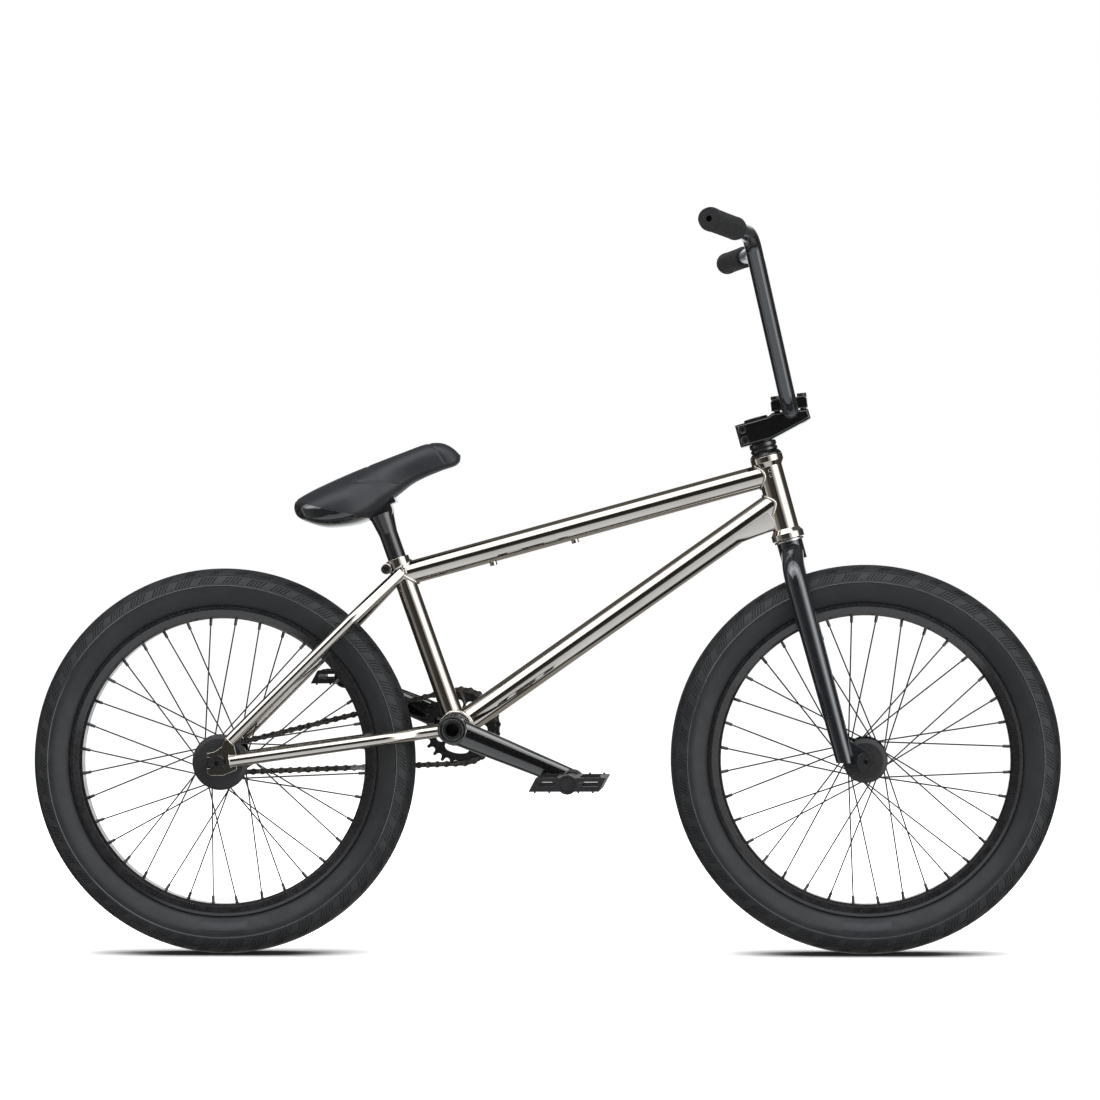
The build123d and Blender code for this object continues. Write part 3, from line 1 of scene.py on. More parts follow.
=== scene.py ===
"""Looks of a freestyle bicycle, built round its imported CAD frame.

Metres. +X is forward, +Y is the rider's left (the drive side), +Z is up, and the ground is z = 0.
"""
import json
import math

import bmesh
import bpy
import numpy as np
from mathutils import Matrix, Vector


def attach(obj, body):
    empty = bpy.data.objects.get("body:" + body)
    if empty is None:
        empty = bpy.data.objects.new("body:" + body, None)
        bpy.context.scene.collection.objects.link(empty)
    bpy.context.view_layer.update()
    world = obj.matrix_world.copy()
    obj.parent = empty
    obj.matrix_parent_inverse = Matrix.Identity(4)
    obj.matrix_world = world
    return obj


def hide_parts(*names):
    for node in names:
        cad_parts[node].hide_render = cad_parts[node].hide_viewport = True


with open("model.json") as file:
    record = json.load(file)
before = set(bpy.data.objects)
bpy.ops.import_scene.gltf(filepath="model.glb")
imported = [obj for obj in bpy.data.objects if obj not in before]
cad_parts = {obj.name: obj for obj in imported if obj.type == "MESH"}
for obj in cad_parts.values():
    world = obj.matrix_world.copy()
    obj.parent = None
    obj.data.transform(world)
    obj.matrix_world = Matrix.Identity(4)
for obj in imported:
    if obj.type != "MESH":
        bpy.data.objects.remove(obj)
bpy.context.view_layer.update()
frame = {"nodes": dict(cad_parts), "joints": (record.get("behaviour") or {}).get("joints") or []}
NODES = frame["nodes"]
JOINTS = {joint["name"]: joint for joint in frame["joints"]}
MM = 0.001


def anchor(joint):
    """Point on a joint's axis, in the rest pose."""
    return Vector(JOINTS[joint]["pos_m"])


REAR_AXLE = anchor("rear_wheel_spin")
FRONT_AXLE = anchor("front_wheel_spin")
BOTTOM_BRACKET = anchor("crank_spin")
HEAD_BOTTOM = anchor("steering")
HEAD_UP = Vector(JOINTS["steering"]["axis"])
SEAT_TUBE_UP = Vector(JOINTS["seat_height"]["axis"])
SEAT_PIVOT = anchor("seat_tilt")
SIDEWAYS = Vector((0, 1, 0))


# ---- materials ---------------------------------
class Finish:
    """A Principled material, with short calls that wire procedural detail into it."""

    def __init__(self, name, colour, rough, metal=0.0):
        self.material = bpy.data.materials.new(name)
        self.material.use_nodes = True
        self.tree = self.material.node_tree
        self.surface = self.tree.nodes["Principled BSDF"]
        self.colour = (*colour, 1.0)
        self.surface.inputs["Base Color"].default_value = self.colour
        self.surface.inputs["Roughness"].default_value = rough
        self.surface.inputs["Metallic"].default_value = metal
        self.rough = rough
        self.place = self.add("ShaderNodeTexCoord").outputs["Object"]
        self.normal = None

    def add(self, kind, **values):
        node = self.tree.nodes.new(kind)
        for name, value in values.items():
            if name in node.inputs:
                node.inputs[name].default_value = value
            else:
                setattr(node, name, value)
        return node

    def join(self, output, target):
        self.tree.links.new(output, target)

    def set(self, name, value):
        self.surface.inputs[name].default_value = value

    def stretched(self, x, y, z):
        """The object's coordinates, scaled apart so that a pattern runs lengthwise."""
        node = self.add("ShaderNodeMapping")
        node.inputs["Scale"].default_value = (x, y, z)
        self.join(self.place, node.inputs["Vector"])
        return node.outputs["Vector"]

    def noise(self, scale, detail=4.0, rough=0.55, place=None):
        node = self.add("ShaderNodeTexNoise", Scale=scale, Detail=detail, Roughness=rough)
        self.join(place or self.place, node.inputs["Vector"])
        return node.outputs["Fac"]

    def cells(self, scale, feature="F1"):
        node = self.add("ShaderNodeTexVoronoi", Scale=scale, feature=feature)
        self.join(self.place, node.inputs["Vector"])
        return node.outputs["Distance"]

    def spread(self, value, low, high, to_low, to_high):
        """Maps low..high of a value to to_low..to_high, clamped."""
        node = self.add("ShaderNodeMapRange")
        for index, number in ((1, low), (2, high), (3, to_low), (4, to_high)):
            node.inputs[index].default_value = number
        self.join(value, node.inputs[0])
        return node.outputs[0]

    def tint(self, factor, first, second):
        """Base colour that runs from first to second with the factor."""
        node = self.add("ShaderNodeMix", data_type="RGBA")
        node.inputs[6].default_value = (*first, 1.0)
        node.inputs[7].default_value = (*second, 1.0)
        self.join(factor, node.inputs[0])
        self.join(node.outputs[2], self.surface.inputs["Base Color"])
        return node.outputs[2]

    def roughness(self, value, low, high):
        self.join(self.spread(value, 0.3, 0.7, low, high), self.surface.inputs["Roughness"])

    def soften(self, radius, samples=4):
        """Rounds the look of hard edges by a small radius."""
        node = self.add("ShaderNodeBevel", Radius=radius, samples=samples)
        self.normal = node.outputs["Normal"]
        self.join(self.normal, self.surface.inputs["Normal"])
        self.join(self.normal, self.surface.inputs["Coat Normal"])

    def bump(self, height, distance, strength=1.0, coat=False):
        node = self.add("ShaderNodeBump", Distance=distance, Strength=strength)
        self.join(height, node.inputs["Height"])
        if self.normal is not None:
            self.join(self.normal, node.inputs["Normal"])
        self.normal = node.outputs["Normal"]
        self.join(self.normal, self.surface.inputs["Normal"])
        if coat:
            self.join(self.normal, self.surface.inputs["Coat Normal"])


def frame_chrome():
    """Smoked mirror plating over drawn steel tube, with faint handling haze."""
    f = Finish("frame_chrome", (0.46, 0.435, 0.405), 0.05, metal=1.0)
    f.soften(0.0012, samples=6)
    haze = f.noise(38.0, detail=6.0)
    f.roughness(haze, 0.03, 0.085)
    f.tint(f.spread(f.noise(11.0), 0.35, 0.7, 0.0, 1.0), (0.47, 0.445, 0.415), (0.41, 0.38, 0.345))
    f.bump(f.noise(70.0, detail=2.0), 0.00006)
    return f.material


def black_paint():
    """Deep gloss black: a dark base under a clear coat with a little orange peel."""
    f = Finish("black_paint", (0.005, 0.0055, 0.007), 0.3)
    f.set("Specular IOR Level", 0.15)
    f.set("Coat Weight", 1.0)
    f.set("Coat Roughness", 0.035)
    f.set("Coat IOR", 1.62)
    f.set("Coat Tint", (0.86, 0.93, 1.0, 1.0))
    f.soften(0.0008)
    f.tint(f.noise(30.0), (0.0042, 0.0047, 0.006), (0.006, 0.0066, 0.0082))
    f.bump(f.noise(420.0, detail=2.0), 0.00004, coat=True)
    return f.material


def deep_black(name, edge_radius):
    """Deepest gloss black, with its edges rounded to the given radius."""
    f = Finish(name, (0.0015, 0.0015, 0.0017), 0.3)
    f.set("Specular IOR Level", 0.1)
    f.set("Coat Weight", 1.0)
    f.set("Coat Roughness", 0.03)
    f.set("Coat IOR", 1.75)
    f.soften(edge_radius, samples=10)
    f.tint(f.noise(30.0), (0.0012, 0.0012, 0.0014), (0.002, 0.002, 0.0022))
    f.bump(f.noise(420.0, detail=2.0), 0.00004, coat=True)
    return f.material


def black_alloy():
    """Black anodised aluminium, polished, with very fine grain."""
    f = Finish("black_alloy", (0.004, 0.004, 0.0045), 0.24, metal=0.0)
    f.set("Specular IOR Level", 0.3)
    f.set("Coat Weight", 0.8)
    f.set("Coat Roughness", 0.06)
    f.set("Coat IOR", 1.5)
    f.soften(0.0005)
    f.roughness(f.noise(90.0, detail=5.0), 0.2, 0.36)
    f.tint(f.noise(45.0), (0.0035, 0.0035, 0.0042), (0.007, 0.007, 0.008))
    f.bump(f.noise(1800.0, detail=2.0), 0.00003)
    return f.material


def steel():
    """Plain machined steel with turned rings and a trace of oil."""
    f = Finish("steel", (0.5, 0.5, 0.51), 0.3, metal=1.0)
    f.soften(0.0003)
    f.roughness(f.noise(160.0, place=f.stretched(1, 12, 1)), 0.2, 0.42)
    f.tint(f.noise(60.0), (0.42, 0.42, 0.43), (0.58, 0.575, 0.57))
    return f.material


def black_bolt():
    """Black oxide on steel: dark, slightly brown, satin."""
    f = Finish("black_bolt", (0.006, 0.006, 0.0065), 0.3)
    f.set("Specular IOR Level", 0.35)
    f.soften(0.0003)
    f.roughness(f.noise(220.0), 0.22, 0.42)
    f.tint(f.noise(120.0), (0.004, 0.004, 0.0045), (0.01, 0.0095, 0.009))
    f.bump(f.noise(900.0), 0.00003)
    return f.material


def chain_steel():
    """Dark oiled chain plates, a little browner and duller in the oil."""
    f = Finish("chain_steel", (0.1, 0.092, 0.084), 0.32, metal=1.0)
    f.roughness(f.noise(260.0, detail=5.0), 0.22, 0.5)
    f.tint(f.spread(f.noise(150.0), 0.4, 0.65, 0.0, 1.0), (0.13, 0.12, 0.11), (0.045, 0.04, 0.035))
    f.bump(f.noise(1200.0), 0.00004)
    return f.material


def link_silver():
    """Bright nickel joining link."""
    f = Finish("link_silver", (0.76, 0.75, 0.73), 0.2, metal=1.0)
    f.roughness(f.noise(300.0), 0.14, 0.3)
    f.tint(f.noise(200.0), (0.7, 0.69, 0.67), (0.8, 0.79, 0.77))
    f.bump(f.noise(1500.0), 0.00003)
    return f.material


def tyre_rubber():
    """Charcoal rubber with dusty bloom and a fine moulded skin."""
    f = Finish("tyre_rubber", (0.009, 0.0095, 0.0105), 0.6)
    f.set("Specular IOR Level", 0.2)
    bloom = f.spread(f.noise(14.0, detail=8.0, rough=0.65), 0.35, 0.7, 0.0, 1.0)
    f.tint(bloom, (0.008, 0.0085, 0.0095), (0.0125, 0.013, 0.0135))
    f.roughness(f.noise(55.0, detail=6.0), 0.42, 0.58)
    f.bump(f.noise(1500.0, detail=3.0), 0.00005)
    return f.material


def tyre_gloss():
    """Polished panel moulded into the tyre's sidewall."""
    f = Finish("tyre_gloss", (0.009, 0.01, 0.012), 0.2)
    f.set("Specular IOR Level", 0.16)
    f.tint(f.noise(40.0), (0.008, 0.009, 0.011), (0.012, 0.013, 0.0155))
    f.roughness(f.noise(70.0), 0.2, 0.34)
    f.bump(f.noise(800.0), 0.00002)
    return f.material


def tube_rubber():
    f = Finish("tube_rubber", (0.02, 0.02, 0.02), 0.7)
    f.tint(f.noise(40.0), (0.016, 0.016, 0.016), (0.028, 0.028, 0.028))
    f.bump(f.noise(500.0), 0.00005)
    return f.material


def grip_rubber():
    """Soft matt grip rubber with a fine skin."""
    f = Finish("grip_rubber", (0.011, 0.012, 0.0115), 0.62)
    f.set("Specular IOR Level", 0.16)
    f.tint(f.noise(50.0, detail=6.0), (0.008, 0.009, 0.0085), (0.014, 0.015, 0.014))
    f.roughness(f.noise(120.0), 0.52, 0.7)
    f.bump(f.noise(1100.0), 0.00006)
    return f.material


def plastic():
    """Moulded nylon with a spark-eroded texture."""
    f = Finish("plastic", (0.008, 0.008, 0.009), 0.42)
    f.set("Specular IOR Level", 0.22)
    f.soften(0.0006)
    f.tint(f.noise(60.0, detail=5.0), (0.006, 0.006, 0.0066), (0.012, 0.012, 0.013))
    f.roughness(f.noise(90.0), 0.34, 0.5)
    f.bump(f.cells(900.0), 0.00005)
    return f.material


def gloss_plastic():
    """Polished black moulding."""
    f = Finish("gloss_plastic", (0.005, 0.0055, 0.0065), 0.12)
    f.set("Coat Weight", 0.5)
    f.set("Coat IOR", 1.5)
    f.soften(0.0008)
    f.tint(f.noise(50.0), (0.004, 0.0045, 0.0055), (0.008, 0.0085, 0.0095))
    f.roughness(f.noise(80.0), 0.07, 0.16)
    f.bump(f.noise(300.0), 0.00003)
    return f.material


def seat_cover():
    """Satin coated fabric: fine leather-like grain and a softly patchy tone."""
    f = Finish("seat_cover", (0.011, 0.012, 0.014), 0.4)
    f.set("Specular IOR Level", 0.2)
    f.tint(f.noise(26.0, detail=6.0), (0.008, 0.009, 0.0105), (0.0135, 0.0145, 0.0165))
    f.roughness(f.noise(60.0, detail=5.0), 0.32, 0.44)
    f.bump(f.cells(1100.0, "DISTANCE_TO_EDGE"), 0.00006)
    return f.material


FINISHES = {}
for make in (
    frame_chrome, black_paint, black_alloy, steel, black_bolt, chain_steel, link_silver, tyre_rubber,
    tube_rubber, grip_rubber, plastic, gloss_plastic, seat_cover, tyre_gloss,
):
    FINISHES[make.__name__] = make()
for name, edge_radius in (("stem_black", 0.0016), ("crank_black", 0.0008)):
    FINISHES[name] = deep_black(name, edge_radius)
SPECIAL_FINISHES = {
    "stem_body": "stem_black", "stem_bar_clamp": "stem_black",
    "crank_arm_left": "crank_black", "crank_arm_right": "crank_black",
}


def finish_cad_nodes():
    """Gives every CAD node its special finish, or the one named by its material slot."""
    for name, node in NODES.items():
        slot = node.data.materials[0].name
        node.data.materials[0] = FINISHES[SPECIAL_FINISHES.get(name, slot)]


finish_cad_nodes()


# ---- mesh helpers ------------------------------
def mesh_piece(name, points, faces, finish, body, smooth_angle=35.0):
    """A named closed mesh that rides on a body, shaded smooth below an angle in degrees."""
    mesh = bpy.data.meshes.new(name)
    mesh.from_pydata([tuple(p) for p in points], [], faces)
    mesh.update()
    piece = bpy.data.objects.new(name, mesh)
    bpy.context.scene.collection.objects.link(piece)
    mesh.materials.append(FINISHES[finish])
    shade(mesh, smooth_angle)
    fix_normals(mesh)
    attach(piece, body)
    return piece


def shade(mesh, angle):
    """Smooth shading, with edges sharper than the angle kept crisp."""
    mesh.shade_smooth()
    mesh.set_sharp_from_angle(angle=math.radians(angle))


def fix_normals(mesh):
    """Turns every face of a closed mesh outward."""
    work = bmesh.new()
    work.from_mesh(mesh)
    bmesh.ops.recalc_face_normals(work, faces=work.faces)
    work.to_mesh(mesh)
    work.free()


def grid_faces(rows, columns, close_rows=False, close_columns=False):
    """Quads of a grid whose point (row, column) has index row * columns + column."""
    faces = []
    for row in range(rows if close_rows else rows - 1):
        for column in range(columns if close_columns else columns - 1):
            after = (row + 1) % rows
            beside = (column + 1) % columns
            faces.append((
                row * columns + column, row * columns + beside,
                after * columns + beside, after * columns + column,
            ))
    return faces


def smooth_step(low, high, value):
    t = min(1.0, max(0.0, (value - low) / (high - low)))
    return t * t * (3.0 - 2.0 * t)


# ---- curves ------------------------------------
def smooth_value(points, x):
    """Height at x of a smooth curve through (x, height) points in rising order of x."""
    if x <= points[0][0]:
        return points[0][1]
    if x >= points[-1][0]:
        return points[-1][1]
    last = len(points) - 1
    i = max(k for k in range(last) if points[k][0] <= x)
    (x0, y0), (x1, y1) = points[i], points[i + 1]

    def slope(k):
        before, after = points[max(k - 1, 0)], points[min(k + 1, last)]
        return (after[1] - before[1]) / (after[0] - before[0])

    span = x1 - x0
    t = (x - x0) / span
    rise = (2 * t**3 - 3 * t**2 + 1) * y0 + (3 * t**2 - 2 * t**3) * y1
    return rise + span * ((t**3 - 2 * t**2 + t) * slope(i) + (t**3 - t**2) * slope(i + 1))


def smooth_path(points, steps=24):
    """Dense polyline through 2-D points, rounded like a thin bent strip."""
    path = []
    for i in range(len(points) - 1):
        a = Vector(points[max(i - 1, 0)])
        b = Vector(points[i])
        c = Vector(points[i + 1])
        d = Vector(points[min(i + 2, len(points) - 1)])
        for k in range(steps):
            t = k / steps
            path.append(0.5 * (
                2 * b + (c - a) * t + (2 * a - 5 * b + 4 * c - d) * t**2
                + (3 * b - a - 3 * c + d) * t**3
            ))
    path.append(Vector(points[-1]))
    return path


def lengths_along(path):
    total = [0.0]
    for before, after in zip(path, path[1:]):
        total.append(total[-1] + (after - before).length)
    return total


def point_at(path, totals, distance):
    """Point and unit direction at a distance along a polyline."""
    distance = min(max(distance, 0.0), totals[-1])
    i = max(k for k in range(len(path) - 1) if totals[k] <= distance + 1e-9)
    step = path[i + 1] - path[i]
    share = (distance - totals[i]) / (totals[i + 1] - totals[i])
    return path[i] + step * share, step.normalized()


# ---- tyres -------------------------------------
TYRE_OUTSIDE = ((262, 0), (258.4, 14.5), (249, 25.6), (233, 30.2), (216, 21.5), (210.8, 15.4))
TYRE_INSIDE = ((203.2, 10.6), (214, 17.5), (232, 26.6), (246.5, 22), (254.2, 12.5), (257.2, 0))
BEAD_TOE = ((203.2, 14.9),)
TREAD_TILES = 46
TREAD_SLANT = math.tan(math.radians(37.0))
TREAD_EDGE = 40.0
SIPE_COUNT = 5
SIPE_PITCH = 4.9
SIPE_WIDTH = 1.5
SIPE_WALL = 0.3
SIPE_DEPTH = 1.3
LINE_DEPTH = 0.6
# Distance from the crown round the tread, and what is cut along that row.
TREAD_ROWS = (
    (2.0, ""), (2.4, "centre"), (9.6, "centre"), (10.0, ""), (13.0, ""), (13.4, "middle"),
    (17.7, "middle"), (22.0, "middle"), (22.4, ""), (24.4, ""), (24.7, "line"), (25.7, "line"),
    (26.0, ""), (28.0, ""), (28.4, "shoulder"), (31.4, "shoulder"), (34.4, "shoulder"),
    (37.4, "shoulder"), (37.8, ""), (39.7, ""),
)
CUT_SIPES = {"centre": (0, 1, 2, 3), "middle": (1, 2, 3), "shoulder": (0, 1, 2, 3, 4)}
SIDEWALL_STEP = 0.5
# Fine polished rib between tread and sidewall: (distance from the crown, how far it is sunk).
EDGE_RIB = ((40.0, 0.0), (40.3, -0.5), (40.9, -0.65), (41.4, -0.5), (42.1, 0.5))
SIDEWALL_START = 42.5
SIDEWALL_ROWS = 15
PANEL_RADII = (218.5, 232.5)
PANEL_HALF_ANGLE = math.radians(8.3)
PANEL_RAISE = 0.35
SECTION_MIDDLE_R = 232.0
TYRE_FINISHES = ("tyre_rubber", "tyre_gloss", "gloss_plastic")


def tread_columns():
    """(arc distance at the crown, sipe number or None) of every column of the tread mesh."""
    tile = 2 * math.pi * TYRE_OUTSIDE[0][0] / TREAD_TILES
    columns = []
    for number in range(TREAD_TILES):
        start = number * tile + 1.0
        for sipe in range(SIPE_COUNT):
            edge = start + sipe * SIPE_PITCH
            columns.append((edge - SIPE_WALL, None))
            columns.append((edge, sipe))
            columns.append((edge + SIPE_WIDTH, sipe))
            columns.append((edge + SIPE_WIDTH + SIPE_WALL, None))
        after = start + SIPE_COUNT * SIPE_PITCH
        for share in (0.2, 0.5, 0.8):
            columns.append((after + share * (number * tile + tile - after), None))
    return columns


def tread_cut(cut, sipe):
    """Depth of the tread pattern where a row meets a column."""
    if cut == "line":
        return LINE_DEPTH
    if sipe is not None and sipe in CUT_SIPES.get(cut, ()):
        return SIPE_DEPTH
    return 0.0


def tyre_rows():
    """Rows from crown to bead: (radius, y, slant shift, cut, direction, how far it is sunk)."""
    path = smooth_path(TYRE_OUTSIDE)
    totals = lengths_along(path)
    places = [(0.0, "", 0.0)] + [(distance, cut, 0.0) for distance, cut in TREAD_ROWS]
    places += [(distance, "", step) for distance, step in EDGE_RIB]
    for index in range(SIDEWALL_ROWS):
        distance = SIDEWALL_START + (totals[-1] - SIDEWALL_START) * index / (SIDEWALL_ROWS - 1)
        fade = 1.0 - smooth_step(0.7, 1.0, distance / totals[-1])
        places.append((distance, "", SIDEWALL_STEP * fade))
    rows = []
    for distance, cut, step in places:
        spot, along = point_at(path, totals, distance)
        shift = min(distance, TREAD_EDGE) * TREAD_SLANT
        rows.append((spot.x, spot.y, shift, cut, along, step))
    return rows


def tyre_loop():
    """Rows of the whole closed section, and how many of them are on the outside."""
    half = tyre_rows()
    loop = []
    for r, y, shift, cut, along, step in half[:0:-1]:
        loop.append((r, -y, shift, cut, Vector((along.x, -along.y)), step))
    loop += half
    inside = list(BEAD_TOE) + list(TYRE_INSIDE)
    inside += [(r, -y) for r, y in reversed(inside[:-1])]
    for r, y in inside:
        loop.append((r, y, TREAD_EDGE * TREAD_SLANT, "", None, 0.0))
    return loop, 2 * len(half) - 1


def section_outward(r, y, along):
    """Unit direction out of the rubber at a spot of the section, or nothing on the inside."""
    if not along:
        return Vector((0.0, 0.0))
    outward = Vector((-along.y, along.x))
    return -outward if outward.dot(Vector((r - SECTION_MIDDLE_R, y))) < 0 else outward


def on_panel(angle):
    """Whether an angle is on the sidewall panel, which is centred on the wheel's lowest point."""
    from_lowest = (angle + 1.5 * math.pi) % (2 * math.pi) - math.pi
    return abs(from_lowest) < PANEL_HALF_ANGLE


def tyre_points(loop, columns, panel_rows):
    crown_r = TYRE_OUTSIDE[0][0]
    points = []
    for row, (r, y, shift, cut, along, step) in enumerate(loop):
        outward = section_outward(r, y, along)
        for arc, sipe in columns:
            angle = (arc + shift) / crown_r
            sink = step + (tread_cut(cut, sipe) if cut else 0.0)
            if row in panel_rows and on_panel(angle):
                sink -= PANEL_RAISE
            spot = Vector((r, y)) - outward * sink
            points.append((spot.x * math.cos(angle) * MM, spot.y * MM, spot.x * math.sin(angle) * MM))
    return points


def paint_tyre(mesh, columns, panel_rows, outside_rows):
    """Gives the sidewall panel and the two edge ribs their own finishes."""
    first_rib = outside_rows // 2 + 1 + len(TREAD_ROWS)
    rib_rows = set(range(first_rib, first_rib + len(EDGE_RIB) - 1))
    rib_rows |= {outside_rows - 2 - row for row in rib_rows}
    for polygon in mesh.polygons:
        row, column = divmod(polygon.index, len(columns))
        angle = (columns[column][0] + TREAD_EDGE * TREAD_SLANT) / TYRE_OUTSIDE[0][0]
        if {row, row + 1} <= panel_rows and on_panel(angle):
            polygon.material_index = TYRE_FINISHES.index("tyre_gloss")
        if row in rib_rows:
            polygon.material_index = TYRE_FINISHES.index("gloss_plastic")


def make_tyre_mesh():
    """Closed ring of tyre: sipes in three bands a side, a groove, sidewalls, beads and inside."""
    columns = tread_columns()
    loop, outside_rows = tyre_loop()
    low, high = PANEL_RADII
    panel_rows = {row for row in range(outside_rows) if low < loop[row][0] < high}
    mesh = bpy.data.meshes.new("tyre")
    faces = grid_faces(len(loop), len(columns), close_rows=True, close_columns=True)
    mesh.from_pydata(tyre_points(loop, columns, panel_rows), [], faces)
    for finish in TYRE_FINISHES:
        mesh.materials.append(FINISHES[finish])
    paint_tyre(mesh, columns, panel_rows, outside_rows)
    fix_normals(mesh)
    shade(mesh, 30.0)
    return mesh


def add_tyres():
    mesh = make_tyre_mesh()
    for end, axle in (("front", FRONT_AXLE), ("rear", REAR_AXLE)):
        tyre = bpy.data.objects.new(f"{end}_tyre_tread", mesh)
        bpy.context.scene.collection.objects.link(tyre)
        tyre.location = axle
        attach(tyre, f"{end}_wheel")
        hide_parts(f"{end}_tyre")


add_tyres()


# ---- seat --------------------------------------
SEAT_TILT = math.radians(22.7)
SEAT_FORWARD = Vector((math.cos(SEAT_TILT), 0, math.sin(SEAT_TILT)))
SEAT_UP = Vector((-math.sin(SEAT_TILT), 0, math.cos(SEAT_TILT)))
# Outlines of the seat against its own length u, in millimetres from the pivot.
SEAT_HALF_WIDTH = (
    (-104, 30), (-101, 44), (-95, 55), (-86, 63), (-62, 69.5), (-30, 66), (0, 52), (30, 35),
    (60, 26.5), (92, 23.5), (114, 19.5), (124, 14), (129, 8),
)
SEAT_TOP = (
    (-104, 50), (-100, 56), (-94, 59.5), (-62, 62.5), (0, 63.5), (64, 61.5), (92, 60), (107, 56),
    (118, 49), (126, 38), (129, 30),
)
SEAT_BOTTOM = (
    (-104, 38), (-101, 32), (-93, 23), (-80, 12), (-67, 5), (-39, -3), (-16, -4), (0, 0), (14, 6),
    (34, 12), (60, 18), (98, 18.5), (118, 17), (126, 20), (129, 25),
)
SEAT_ROWS = 60
SEAT_COLUMNS = 64
SEAT_BELLY = 0.32
SEAT_SEAMS = (((12, 66), (2, 57), (-11, 48), (31, 28), (62, 10)), ((93, 66), (105, 46), (111, 16)))
SEAM_DEPTH = 0.9
SEAM_HALF_WIDTH = 1.5
SEAT_UNDERSIZE = 0.985
PUFF_PRESSURE = 4.0
PUFF_FRAMES = 20
PUFF_CAP = 2.6 * MM
# How near the lower edge, a seam or the bumper the cloth is pinned.
PIN_LOW = 9.0
PIN_SEAM = 3.2
PIN_BUMPER = 1.5
# The bumper's upper edge in side view, its front end, how proud it stands, and its thickness.
BUMPER_LINE = ((-101, 58), (-19, 0))
BUMPER_FRONT = -14
BUMPER_PROUD = 0.9 * MM
BUMPER_THICKNESS = 2.2 * MM


def seat_place(u, y, w):
    return SEAT_PIVOT + (SEAT_FORWARD * u + Vector((0, y, 0)) + SEAT_UP * w) * MM


def seat_coordinates(point):
    """(u, y, w) in millimetres of a point in the seat's own frame."""
    away = (Vector(point) - SEAT_PIVOT) / MM
    return away.dot(SEAT_FORWARD), away.y, away.dot(SEAT_UP)


def seat_section_point(u, turn):
    """Point of the seat's crowned cross-section: broad low belly, domed top."""
    half = smooth_value(SEAT_HALF_WIDTH, u)
    top = smooth_value(SEAT_TOP, u)
    bottom = smooth_value(SEAT_BOTTOM, u)
    belly = bottom + SEAT_BELLY * (top - bottom)
    c, s = math.cos(turn), math.sin(turn)
    if s >= 0:
        across, high = abs(c) ** 0.82, belly + (top - belly) * s**0.8
    else:
        across, high = abs(c) ** 0.7, belly - (belly - bottom) * abs(s) ** 0.7
    return half * math.copysign(across, c), high


def seat_cage():
    """Coarse closed seat, a little under size, ready to be puffed."""
    start, end = SEAT_TOP[0][0], SEAT_TOP[-1][0]
    points = []
    for row in range(SEAT_ROWS):
        u = start + (end - start) * (0.5 - 0.5 * math.cos(math.pi * row / (SEAT_ROWS - 1)))
        for column in range(SEAT_COLUMNS):
            y, w = seat_section_point(u, 2 * math.pi * column / SEAT_COLUMNS)
            points.append(seat_place(u, y * SEAT_UNDERSIZE, w))
    faces = grid_faces(SEAT_ROWS, SEAT_COLUMNS, close_columns=True)
    last_row = (SEAT_ROWS - 1) * SEAT_COLUMNS
    for first, u, w, flip in ((0, start - 1.5, 44, 1), (last_row, end + 1.5, 27.5, -1)):
        points.append(seat_place(u, 0, w))
        pole = len(points) - 1
        for column in range(SEAT_COLUMNS):
            pair = (first + column, first + (column + 1) % SEAT_COLUMNS)
            faces.append((pole, *pair[::flip]))
    return points, faces


def segment_distance(point, first, second):
    along = second - first
    share = min(1.0, max(0.0, (point - first).dot(along) / along.length_squared))
    return (point - first - along * share).length


def seam_distance(u, w):
    """Distance, in side view, to the nearest sewn seam."""
    spot = Vector((u, w))
    best = 1e9
    for seam in SEAT_SEAMS:
        for first, second in zip(seam, seam[1:]):
            best = min(best, segment_distance(spot, Vector(first), Vector(second)))
    return best


def bumper_height(u, w):
    """Height above the bumper's upper edge; negative on the bumper."""
    first, second = Vector(BUMPER_LINE[0]), Vector(BUMPER_LINE[1])
    along = (second - first).normalized()
    return (Vector((u, w)) - first).dot(Vector((-along.y, along.x)))


def evaluated_copy(piece):
    """Replaces a piece's mesh with its own evaluated mesh, and drops its modifiers."""
    graph = bpy.context.evaluated_depsgraph_get()
    mesh = bpy.data.meshes.new_from_object(piece.evaluated_get(graph))
    piece.modifiers.clear()
    piece.data = mesh


def puff_seat(cover):
    """Inflates the cover between its seams with a short cloth simulation, capped in travel."""
    rest = [v.co.copy() for v in cover.data.vertices]
    pins = cover.vertex_groups.new(name="pins")
    for vertex in cover.data.vertices:
        u, y, w = seat_coordinates(vertex.co)
        low = w < smooth_value(SEAT_BOTTOM, u) + PIN_LOW
        if low or seam_distance(u, w) < PIN_SEAM or bumper_height(u, w) < PIN_BUMPER:
            pins.add([vertex.index], 1.0, "REPLACE")
    cloth = cover.modifiers.new("cloth", "CLOTH")
    cloth.settings.use_pressure = True
    cloth.settings.uniform_pressure_force = PUFF_PRESSURE
    cloth.settings.vertex_group_mass = "pins"
    cloth.settings.effector_weights.gravity = 0.0
    scene = bpy.context.scene
    for number in range(1, PUFF_FRAMES + 1):
        scene.frame_set(number)
    evaluated_copy(cover)
    for vertex, start in zip(cover.data.vertices, rest):
        move = vertex.co - start
        if move.length > PUFF_CAP:
            vertex.co = start + move.normalized() * PUFF_CAP
    scene.frame_set(1)


